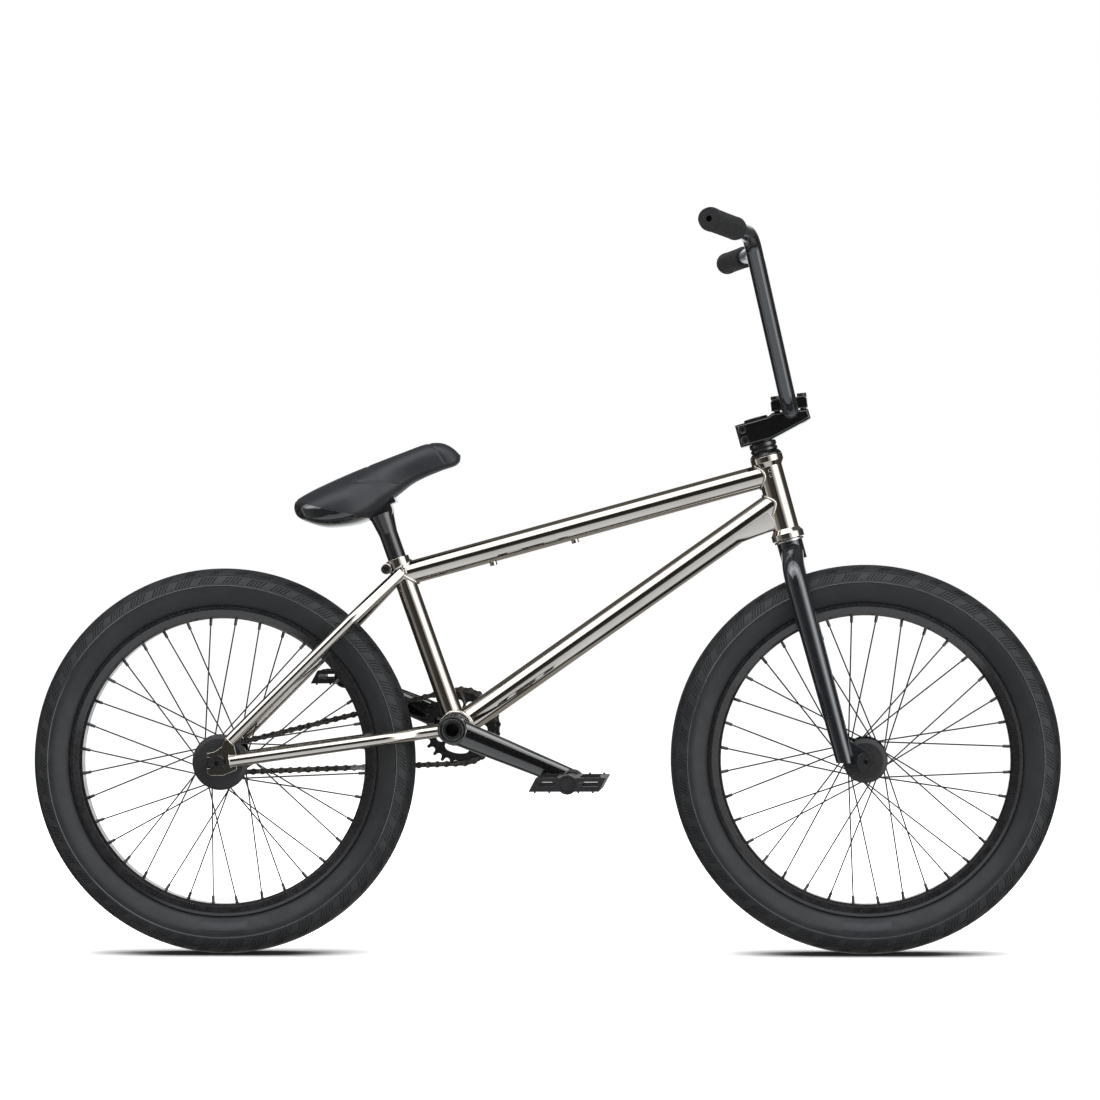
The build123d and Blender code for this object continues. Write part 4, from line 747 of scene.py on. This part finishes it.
def sew_seat(cover):
    """Presses the sewn seams into the finished cover."""
    normals = [v.normal.copy() for v in cover.data.vertices]
    for vertex, normal in zip(cover.data.vertices, normals):
        u, y, w = seat_coordinates(vertex.co)
        if normal.dot(SEAT_UP) < -0.3:
            continue
        near = seam_distance(u, w) / SEAM_HALF_WIDTH
        if near < 3:
            vertex.co -= normal * SEAM_DEPTH * MM * math.exp(-near * near)


def add_seat_cover():
    points, faces = seat_cage()
    cover = mesh_piece("seat_cover_skin", points, faces, "seat_cover", "seat", 80)
    cover.parent = None
    puff_seat(cover)
    rounder = cover.modifiers.new("rounder", "SUBSURF")
    rounder.levels = rounder.render_levels = 2
    evaluated_copy(cover)
    cover.data.update()
    sew_seat(cover)
    shade(cover.data, 80)
    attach(cover, "seat")
    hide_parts("seat_pad")
    return cover


def cut_away(work, place, direction):
    """Drops everything of a mesh beyond a plane."""
    everything = work.verts[:] + work.edges[:] + work.faces[:]
    bmesh.ops.bisect_plane(work, geom=everything, plane_co=place, plane_no=direction, clear_outer=True)


def add_seat_bumper(cover):
    """Polished shell wrapped round the lower rear of the seat, standing proud of the cover."""
    mesh = cover.data.copy()
    mesh.name = "seat_bumper"
    work = bmesh.new()
    work.from_mesh(mesh)
    first, second = (seat_place(u, 0, w) for u, w in BUMPER_LINE)
    upward = SIDEWAYS.cross((second - first).normalized())
    if upward.dot(SEAT_UP) < 0:
        upward = -upward
    cut_away(work, first, upward)
    cut_away(work, seat_place(BUMPER_FRONT, 0, 0), SEAT_FORWARD)
    work.normal_update()
    shifts = [(v, v.normal * BUMPER_PROUD) for v in work.verts]
    for vertex, shift in shifts:
        vertex.co += shift
    work.to_mesh(mesh)
    work.free()
    mesh.materials.clear()
    mesh.materials.append(FINISHES["gloss_plastic"])
    bumper = bpy.data.objects.new("seat_bumper", mesh)
    bpy.context.scene.collection.objects.link(bumper)
    shell = bumper.modifiers.new("shell", "SOLIDIFY")
    shell.thickness = BUMPER_THICKNESS
    shell.offset = -1.0
    evaluated_copy(bumper)
    shade(bumper.data, 50)
    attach(bumper, "seat")


add_seat_bumper(add_seat_cover())


# ---- grips -------------------------------------
GRIP_RIB_PITCH = 2.6
GRIP_RIB_HEIGHT = 0.4
GRIP_BORE = 11.2
GRIP_SEGMENTS = 56


def long_axis(node):
    """Middle, direction and half length of a straight turned CAD node."""
    points = np.array([v.co for v in NODES[node].data.vertices], float)
    low, high = points.min(0), points.max(0)
    middle = points.mean(0)
    values, vectors = np.linalg.eigh(np.cov((points - middle).T))
    direction = Vector(vectors[:, -1])
    reach = (points - middle) @ np.array(direction)
    centre = Vector(middle) + direction * float(reach.max() + reach.min()) / 2
    return centre, direction, float(reach.max() - reach.min()) / 2


def grip_profile(half, radius):
    """(distance along the grip, radius): rolled inner end, fine ribs, broad outer collar."""
    profile = [(-half, GRIP_BORE), (-half, radius - 2.4), (-half + 0.8, radius - 1.0)]
    profile += [(-half + 2.4, radius - 0.2), (-half + 5.0, radius - 0.2), (-half + 5.8, radius - 0.7)]
    place = -half + 7.0
    while place < half - 15.0:
        profile.append((place, radius - 0.5 - GRIP_RIB_HEIGHT))
        profile.append((place + GRIP_RIB_PITCH * 0.25, radius - 0.5))
        profile.append((place + GRIP_RIB_PITCH * 0.7, radius - 0.5))
        place += GRIP_RIB_PITCH
    profile += [(half - 12.0, radius - 0.9), (half - 11.2, radius), (half - 2.2, radius)]
    profile += [(half - 0.7, radius - 0.7), (half, radius - 2.2), (half, GRIP_BORE)]
    return profile


def add_grip(side_name, outward):
    """outward is -1 on the right and 1 on the left."""
    node = f"grip_{side_name}"
    centre, direction, half = long_axis(node)
    if direction.y * outward < 0:
        direction = -direction
    across = direction.cross(Vector((0, 0, 1))).normalized()
    up = across.cross(direction)
    points = []
    profile = grip_profile(half / MM, 15.5)
    for place, radius in profile:
        for number in range(GRIP_SEGMENTS):
            turn = 2 * math.pi * number / GRIP_SEGMENTS
            ring = across * math.cos(turn) + up * math.sin(turn)
            points.append(centre + (direction * place + ring * radius) * MM)
    faces = grid_faces(len(profile), GRIP_SEGMENTS, close_rows=True, close_columns=True)
    grip = mesh_piece(f"{node}_ribbed", points, faces, "grip_rubber", "fork", 40)
    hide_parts(node)


add_grip("right", -1)
add_grip("left", 1)


# ---- cranks ------------------------------------
CRANK_LENGTH = 175.0
CRANK_DIRECTION = Vector((math.cos(math.radians(-22.5)), 0, math.sin(math.radians(-22.5))))
CRANK_MIDDLE = 66.5
# Half height and half thickness of the arm's oval at its two ends.
ARM_ROOT = (18.0, 10.3)
ARM_TIP = (13.25, 7.8)
# How far from the axles the arm's ends hide inside the boss and the eye.
BOSS_HOLD_R = 17.6
EYE_HOLD_R = 10.5
ARM_ROWS = 24
ARM_COLUMNS = 64
# (distance from the bike's centre plane, radius) round each end of the arm.
BOSS_PROFILE = (
    (51.5, 12.05), (51.5, 18.3), (52.7, 19.5), (75.8, 19.5), (77.0, 18.4), (77.0, 17.5), (75.5, 17.2),
    (75.5, 14.8), (77.0, 14.5), (77.0, 12.9), (76.2, 12.05),
)
EYE_PROFILE = (
    (60.0, 7.2), (60.0, 13.4), (61.1, 14.5), (75.9, 14.5), (77.0, 13.4), (77.0, 8.2), (76.0, 7.2),
)


def arm_tube():
    """Closed tapered oval tube whose ends hide inside the boss and the pedal eye."""
    points = []
    for row in range(ARM_ROWS):
        share = row / (ARM_ROWS - 1)
        for column in range(ARM_COLUMNS):
            turn = 2 * math.pi * column / ARM_COLUMNS
            high = math.sin(turn) * (ARM_ROOT[0] + (ARM_TIP[0] - ARM_ROOT[0]) * share)
            thick = math.copysign(abs(math.cos(turn)) ** 0.9, math.cos(turn))
            thick *= ARM_ROOT[1] + (ARM_TIP[1] - ARM_ROOT[1]) * share
            start = math.sqrt(max(4.0, BOSS_HOLD_R**2 - high * high))
            end = CRANK_LENGTH - math.sqrt(max(4.0, EYE_HOLD_R**2 - high * high))
            points.append((start + (end - start) * share, CRANK_MIDDLE + thick, high))
    faces = grid_faces(ARM_ROWS, ARM_COLUMNS, close_columns=True)
    quarter = ARM_COLUMNS // 4
    for first in (0, (ARM_ROWS - 1) * ARM_COLUMNS):
        for step in range(ARM_COLUMNS // 2):
            ring = (quarter + step, quarter + step + 1, quarter - step - 1, quarter - step)
            corners = dict.fromkeys(first + index % ARM_COLUMNS for index in ring)
            faces.append(tuple(corners))
    return points, faces


def turned_ring(profile, distance, segments=72):
    """Closed ring turned round an axle that stands at a distance along the arm."""
    points = []
    for y, radius in profile:
        for number in range(segments):
            turn = 2 * math.pi * number / segments
            points.append((distance + radius * math.cos(turn), y, radius * math.sin(turn)))
    return points, grid_faces(len(profile), segments, close_rows=True, close_columns=True)


def add_crank_arm(side_name, side):
    """side is 1 on the left and -1 on the right."""
    along = CRANK_DIRECTION * -side
    up = Vector((-along.z, 0, along.x))
    points, faces = [], []
    for shape in (arm_tube(), turned_ring(BOSS_PROFILE, 0.0), turned_ring(EYE_PROFILE, CRANK_LENGTH)):
        first = len(points)
        for x, y, z in shape[0]:
            points.append(BOTTOM_BRACKET + (along * x + SIDEWAYS * y * side + up * z) * MM)
        faces += [tuple(first + index for index in face) for face in shape[1]]
    name = f"crank_arm_{side_name}"
    arm = mesh_piece(f"{name}_tubular", points, faces, "crank_black", "cranks")
    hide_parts(name)


add_crank_arm("right", -1)
add_crank_arm("left", 1)


# ---- welds -------------------------------------
WELD_R = 2.1 * MM
WELD_PITCH = 2.4 * MM
WELD_STEP = 0.5 * MM
WELD_SEGMENTS = 10
SADDLE_POINTS = 180
RING_POINTS = 90


def saddle_curve(start, end, radius, axis_point, axis, other_radius):
    """Closed curve where a tube running from start to end first meets another tube."""
    along = (end - start).normalized()
    across = along.cross(Vector((0.0, 1.0, 0.02))).normalized()
    up = along.cross(across)
    curve = []
    for number in range(SADDLE_POINTS):
        turn = 2 * math.pi * number / SADDLE_POINTS
        edge = start + (across * math.cos(turn) + up * math.sin(turn)) * radius
        gap = edge - axis_point
        gap -= axis * gap.dot(axis)
        run = along - axis * along.dot(axis)
        a, b, c = run.dot(run), gap.dot(run), gap.dot(gap) - other_radius**2
        root = max(0.0, b * b - a * c)
        curve.append(edge + along * ((-b - math.sqrt(root)) / a))
    return curve


def ring_curve(centre, axis, radius):
    across = axis.cross(Vector((0.0, 1.0, 0.3))).normalized()
    up = axis.cross(across)
    turns = [2 * math.pi * n / RING_POINTS for n in range(RING_POINTS)]
    return [centre + (across * math.cos(t) + up * math.sin(t)) * radius for t in turns]


def even_loop(curve, step):
    """The closed curve again, in equal steps near the given length."""
    path = curve + [curve[0]]
    totals = lengths_along(path)
    count = max(24, round(totals[-1] / step))
    return [point_at(path, totals, totals[-1] * n / count)[0] for n in range(count)], totals[-1]


def add_weld(name, curve, radius=WELD_R):
    """Rippled bead of frame metal along a closed curve."""
    loop, total = even_loop(curve, WELD_STEP)
    ripples = max(1, round(total / WELD_PITCH))
    points = []
    count = len(loop)
    for number, spot in enumerate(loop):
        along = (loop[(number + 1) % count] - loop[number - 1]).normalized()
        across = along.cross(Vector((0.13, 0.3, 0.94))).normalized()
        up = along.cross(across)
        swell = 0.82 + 0.2 * abs(math.sin(math.pi * ripples * number / count))
        for segment in range(WELD_SEGMENTS):
            turn = 2 * math.pi * segment / WELD_SEGMENTS
            ring = across * math.cos(turn) + up * math.sin(turn)
            points.append(spot + ring * radius * swell)
    faces = grid_faces(count, WELD_SEGMENTS, close_rows=True, close_columns=True)
    mesh_piece(name, points, faces, "frame_chrome", "frame", 180)


HEAD_TUBE_R = 18.0 * MM
TOP_TUBE_R = 16.0 * MM
DOWN_TUBE_R = 17.5 * MM
SEAT_TUBE_R = 14.3 * MM
SEAT_COLLAR_R = 16.1 * MM
BB_SHELL_R = 23.0 * MM
CHAINSTAY_R = 8.5 * MM
SEATSTAY_R = 8.0 * MM
TOP_TUBE_FRONT = HEAD_BOTTOM + HEAD_UP * 91.0 * MM
TOP_TUBE_REAR = BOTTOM_BRACKET + SEAT_TUBE_UP * 220.5 * MM
DOWN_TUBE_FRONT = HEAD_BOTTOM + HEAD_UP * 52.6 * MM
SEAT_TUBE_TOP = BOTTOM_BRACKET + SEAT_TUBE_UP * 244.0 * MM
SEATSTAY_TOP = BOTTOM_BRACKET + SEAT_TUBE_UP * 224.0 * MM
SEATSTAY_END = REAR_AXLE + Vector((16, 0, 30)) * MM
DROPOUT_Y = 58.0


def add_frame_welds():
    head = (HEAD_BOTTOM, HEAD_UP, HEAD_TUBE_R)
    seat = (BOTTOM_BRACKET, SEAT_TUBE_UP, SEAT_TUBE_R)
    shell = (BOTTOM_BRACKET, SIDEWAYS, BB_SHELL_R)
    joins = {
        "weld_top_tube_head": (TOP_TUBE_REAR, TOP_TUBE_FRONT, TOP_TUBE_R, *head),
        "weld_down_tube_head": (BOTTOM_BRACKET, DOWN_TUBE_FRONT, DOWN_TUBE_R, *head),
        "weld_top_tube_seat": (TOP_TUBE_FRONT, TOP_TUBE_REAR, TOP_TUBE_R, *seat[:2], SEAT_COLLAR_R),
        "weld_down_tube_shell": (DOWN_TUBE_FRONT, BOTTOM_BRACKET, DOWN_TUBE_R, *shell),
        "weld_seat_tube_shell": (SEAT_TUBE_TOP, BOTTOM_BRACKET, SEAT_TUBE_R, *shell),
    }
    for name, join in joins.items():
        add_weld(name, saddle_curve(*join))


def add_stay_welds():
    back = (REAR_AXLE - BOTTOM_BRACKET).normalized()
    gap = (REAR_AXLE - BOTTOM_BRACKET).length
    down = (SEATSTAY_END - SEATSTAY_TOP).normalized()
    for side_name, side in (("left", 1), ("right", -1)):
        outward = SIDEWAYS * side * MM
        near = BOTTOM_BRACKET + back * 54 * MM + outward * 26.5
        inner = BOTTOM_BRACKET + back * 10 * MM + outward * 25.5
        curve = saddle_curve(near, inner, CHAINSTAY_R, BOTTOM_BRACKET, SIDEWAYS, BB_SHELL_R)
        add_weld(f"weld_chainstay_{side_name}", curve, 1.5 * MM)
        near = SEATSTAY_TOP + down * 88 * MM + outward * 42.5
        inner = SEATSTAY_TOP + outward * 12.0
        curve = saddle_curve(near, inner, SEATSTAY_R, BOTTOM_BRACKET, SEAT_TUBE_UP, SEAT_COLLAR_R)
        add_weld(f"weld_seatstay_{side_name}", curve, 1.4 * MM)
        end = SEATSTAY_END + outward * DROPOUT_Y
        add_weld(f"weld_dropout_upper_{side_name}", ring_curve(end, down, SEATSTAY_R), 1.2 * MM)
        end = BOTTOM_BRACKET + back * (gap - 17 * MM) + outward * DROPOUT_Y
        add_weld(f"weld_dropout_lower_{side_name}", ring_curve(end, back, CHAINSTAY_R), 1.2 * MM)


# ---- gusset ------------------------------------
# Corners below the head tube, forward and up from its lower end, and the root's distance back.
GUSSET_CORNERS = ((-8, 19), (-43, 16.5))
GUSSET_ROOT = 132
GUSSET_ROWS = 36
GUSSET_SIDE_STEPS = 12
GUSSET_TOP = 4.0
GUSSET_HALF_WIDTH = 17.0
GUSSET_TAPER = 6.5


def gusset_section(depth):
    """(distance below the tube's axis, y) round the folded sheet, open side up."""
    side = []
    for number in range(GUSSET_SIDE_STEPS + 1):
        share = number / GUSSET_SIDE_STEPS
        taper = GUSSET_TAPER * (0.35 * share + 0.65 * share**2)
        side.append((GUSSET_TOP + (depth - GUSSET_TOP) * share, GUSSET_HALF_WIDTH - taper))
    side += [(depth + 1.3, 8.8), (depth + 1.9, 5.0)]
    return side + [(depth + 2.0, 0.0)] + [(w, -y) for w, y in reversed(side)]


def add_gusset_skin():
    """Folded, gently rounded sheet that boxes in the corner below the down tube."""
    along = (DOWN_TUBE_FRONT - BOTTOM_BRACKET).normalized()
    below = Vector((along.z, 0, -along.x))
    forward = Vector((HEAD_UP.z, 0, -HEAD_UP.x))
    corners = [HEAD_BOTTOM + (forward * x + HEAD_UP * z) * MM for x, z in GUSSET_CORNERS]
    corners.append(DOWN_TUBE_FRONT - along * GUSSET_ROOT * MM)
    outline = []
    for corner in corners:
        gap = (corner - DOWN_TUBE_FRONT) / MM
        outline.append((-gap.dot(along), gap.dot(below)))
    first, last = outline[0][0], outline[-1][0]
    points = []
    for row in range(GUSSET_ROWS):
        back = first + (last - first) * row / (GUSSET_ROWS - 1)
        for w, y in gusset_section(smooth_value(outline, back) + 0.8):
            points.append(DOWN_TUBE_FRONT + (below * w - along * back + SIDEWAYS * y) * MM)
    columns = len(points) // GUSSET_ROWS
    faces = grid_faces(GUSSET_ROWS, columns, close_columns=True)
    faces.append(tuple(range(columns)))
    faces.append(tuple(range(len(points) - columns, len(points))))
    mesh_piece("gusset_skin", points, faces, "frame_chrome", "frame", 60)


add_frame_welds()
add_stay_welds()
add_gusset_skin()


# ---- studio ------------------------------------
CAMERA_PLACE = Vector((0.401, -5.274, 0.530))
CAMERA_AIM = Vector((-0.0737, 0.9973, 0.0031))
CAMERA_ROLL = math.radians(-0.332)
CAMERA_LENS = 127.79
CAMERA_SENSOR = 36.0


def add_camera():
    data = bpy.data.cameras.new("camera")
    data.lens = CAMERA_LENS
    data.sensor_width = CAMERA_SENSOR
    camera = bpy.data.objects.new("camera", data)
    bpy.context.scene.collection.objects.link(camera)
    aim = CAMERA_AIM.normalized()
    right = aim.cross(Vector((0, 0, 1))).normalized()
    up = right.cross(aim)
    turned_right = right * math.cos(CAMERA_ROLL) + up * math.sin(CAMERA_ROLL)
    turned_up = turned_right.cross(aim)
    turn = Matrix((turned_right, turned_up, -aim)).transposed()
    camera.matrix_world = Matrix.Translation(CAMERA_PLACE) @ turn.to_4x4()
    bpy.context.scene.camera = camera


class StudioNodes:
    """Node-tree shorthand for the world's shader."""

    def __init__(self, tree):
        self.tree = tree
        tree.nodes.clear()

    def add(self, kind, **settings):
        node = self.tree.nodes.new(kind)
        for name, value in settings.items():
            setattr(node, name, value)
        return node

    def math(self, operation, first, second=None):
        node = self.add("ShaderNodeMath", operation=operation)
        for index, value in enumerate((first, second)):
            if value is None:
                continue
            if isinstance(value, (int, float)):
                node.inputs[index].default_value = value
            else:
                self.tree.links.new(value, node.inputs[index])
        return node.outputs[0]

    def ramp(self, value, stops):
        """Colour ramp over 0..180 degrees; stops are (degrees, brightness, tint)."""
        node = self.add("ShaderNodeValToRGB")
        while len(node.color_ramp.elements) > 1:
            node.color_ramp.elements.remove(node.color_ramp.elements[-1])
        for index, (degrees, brightness, tint) in enumerate(stops):
            place = degrees / 180.0
            if index == 0:
                element = node.color_ramp.elements[0]
                element.position = place
            else:
                element = node.color_ramp.elements.new(place)
            element.color = (*(brightness * c for c in tint), 1.0)
        self.tree.links.new(value, node.inputs[0])
        return node.outputs[0]

    def mix(self, factor, first, second):
        node = self.add("ShaderNodeMix", data_type="RGBA", clamp_factor=True)
        self.tree.links.new(factor, node.inputs[0])
        for index, value in ((6, first), (7, second)):
            if isinstance(value, tuple):
                node.inputs[index].default_value = value
            else:
                self.tree.links.new(value, node.inputs[index])
        return node.outputs[2]


WARM = (1.0, 0.96, 0.88)
COOL = (0.93, 0.97, 1.0)
NEUTRAL = (1.0, 1.0, 1.0)
CREAM = (1.0, 0.985, 0.95)
SOFTBOX = 0.5
REFLECTION_GAIN = 5.5

# Seen in a reflection, by angle away from the camera, for each way the reflection may lean.
UPPER_BANDS = (
    (0, 0.006, WARM), (30, 0.008, WARM), (33, SOFTBOX, NEUTRAL), (44, SOFTBOX, NEUTRAL),
    (50, 1.0, COOL), (62, 1.0, COOL), (68, SOFTBOX, NEUTRAL), (79, SOFTBOX, NEUTRAL),
    (84, 0.034, WARM), (138, 0.028, WARM), (146, 0.005, WARM), (156, 0.01, WARM), (162, 0.2, NEUTRAL),
    (180, 0.2, NEUTRAL),
)
FRONT_BANDS = (
    (0, 0.008, WARM), (8, 0.01, WARM), (26, 0.2, CREAM), (38, 0.5, CREAM), (48, 0.9, COOL),
    (60, 0.9, COOL), (68, 0.45, CREAM), (76, 0.4, CREAM),
    (88, 0.02, WARM), (156, 0.01, WARM), (162, 0.2, NEUTRAL), (180, 0.2, NEUTRAL),
)
LOWER_BANDS = (
    (0, 0.01, WARM), (9, 0.012, WARM), (13, 0.19, COOL), (60, 0.24, COOL), (71, 0.19, COOL),
    (75, 0.008, WARM), (88, 0.008, WARM), (94, 0.085, WARM), (150, 0.07, WARM), (160, 0.16, COOL),
    (180, 0.16, COOL),
)
REAR_BANDS = (
    (0, 0.012, WARM), (40, 0.016, WARM), (52, 0.06, WARM), (74, 0.07, WARM), (80, 0.2, NEUTRAL),
    (86, 0.2, NEUTRAL), (92, 0.01, WARM), (156, 0.01, WARM), (162, 0.2, NEUTRAL), (180, 0.2, NEUTRAL),
)
# Each set of bands, the way it leans (degrees up from forward) and half the angle it fills.
FLAGS = ((LOWER_BANDS, -85.0, 50.0), (UPPER_BANDS, 100.0, 55.0), (FRONT_BANDS, 5.0, 40.0))
FLAG_EDGE = 12.0


def add_world():
    """White to the camera; to reflections, a studio of softboxes and dark flags."""
    world = bpy.data.worlds.new("studio")
    bpy.context.scene.world = world
    world.use_nodes = True
    world.cycles.sampling_method = "NONE"
    s = StudioNodes(world.node_tree)
    link = world.node_tree.links.new
    place = s.add("ShaderNodeTexCoord").outputs["Generated"]
    split = s.add("ShaderNodeSeparateXYZ")
    link(place, split.inputs[0])
    x, y, z = split.outputs
    away = s.math("DIVIDE", s.math("ARCCOSINE", s.math("MULTIPLY", y, -1.0)), math.pi)
    sideways = s.math("SQRT", s.math("SUBTRACT", 1.0001, s.math("MULTIPLY", y, y)))
    bands = s.ramp(away, REAR_BANDS)
    for stops, lean, half in FLAGS:
        turn = math.radians(lean)
        forward = s.math("MULTIPLY", x, math.cos(turn))
        along = s.math("ADD", forward, s.math("MULTIPLY", z, math.sin(turn)))
        inside = s.math("SUBTRACT", s.math("DIVIDE", along, sideways), math.cos(math.radians(half)))
        share = s.math("ADD", s.math("MULTIPLY", inside, FLAG_EDGE), 0.5)
        bands = s.mix(share, bands, s.ramp(away, stops))
    glossy = s.add("ShaderNodeBackground")
    link(bands, glossy.inputs[0])
    glossy.inputs[1].default_value = REFLECTION_GAIN
    plain = s.add("ShaderNodeBackground")
    plain.inputs[0].default_value = (1.0, 1.0, 1.0, 1.0)
    plain.inputs[1].default_value = 1.0
    kind = s.add("ShaderNodeLightPath")
    choose = s.add("ShaderNodeMixShader")
    link(kind.outputs["Is Glossy Ray"], choose.inputs[0])
    link(plain.outputs[0], choose.inputs[1])
    link(glossy.outputs[0], choose.inputs[2])
    out = s.add("ShaderNodeOutputWorld")
    link(choose.outputs[0], out.inputs[0])


# Name, place, target, width, height and watts of each soft light.
LIGHTS = (
    ("overhead", (0, -0.3, 3.0), (0, 0, 0.3), 4.0, 3.0, 190),
    ("front_fill", (0.6, -3.6, 1.6), (0, 0, 0.5), 2.6, 1.6, 45),
    ("back_fill", (-0.6, 3.4, 1.6), (0, 0, 0.5), 2.6, 1.6, 30),
)


def add_light(name, place, target, width, height, watts):
    data = bpy.data.lights.new(name, "AREA")
    data.shape = "RECTANGLE"
    data.size = width
    data.size_y = height
    data.energy = watts
    light = bpy.data.objects.new(name, data)
    bpy.context.scene.collection.objects.link(light)
    direction = Vector(target) - Vector(place)
    light.rotation_euler = direction.to_track_quat("-Z", "Y").to_euler()
    light.location = place
    light.visible_glossy = False
    light.visible_camera = False


# Floor colour, colour of the painted contact shadow, how far the ambient occlusion that paints it
# reaches, and the floor's even glow.
FLOOR_WHITE = (0.93, 0.93, 0.93)
FLOOR_PAINTED_SHADOW = (0.03, 0.03, 0.03)
PAINTED_SHADOW_REACH = 0.17
FLOOR_GLOW = 0.16


def add_floor():
    """Pale floor that is white where lit; a painted contact shadow, from ambient occlusion, darkens
    its colour and glow only where the tyres stand.
    """
    bpy.ops.mesh.primitive_plane_add(size=60.0, location=(0, 0, 0))
    floor = bpy.context.object
    floor.name = "floor"
    f = Finish("floor_white", FLOOR_WHITE, 0.8)
    f.set("Specular IOR Level", 0.0)
    # Painted contact shadow: ambient occlusion mixes the floor's colour and glow down to the shadow
    # colour near the tyres.
    near = f.add("ShaderNodeAmbientOcclusion", Distance=PAINTED_SHADOW_REACH, samples=16).outputs["AO"]
    painted_shadow_colour = f.tint(f.spread(near, 0.5, 0.96, 0.0, 1.0), FLOOR_PAINTED_SHADOW, FLOOR_WHITE)
    f.join(painted_shadow_colour, f.surface.inputs["Emission Color"])
    f.set("Emission Strength", FLOOR_GLOW)
    floor.data.materials.append(f.material)
    floor.visible_glossy = False


add_camera()
add_world()
for light in LIGHTS:
    add_light(*light)
add_floor()
bpy.context.scene.view_settings.view_transform = "Standard"
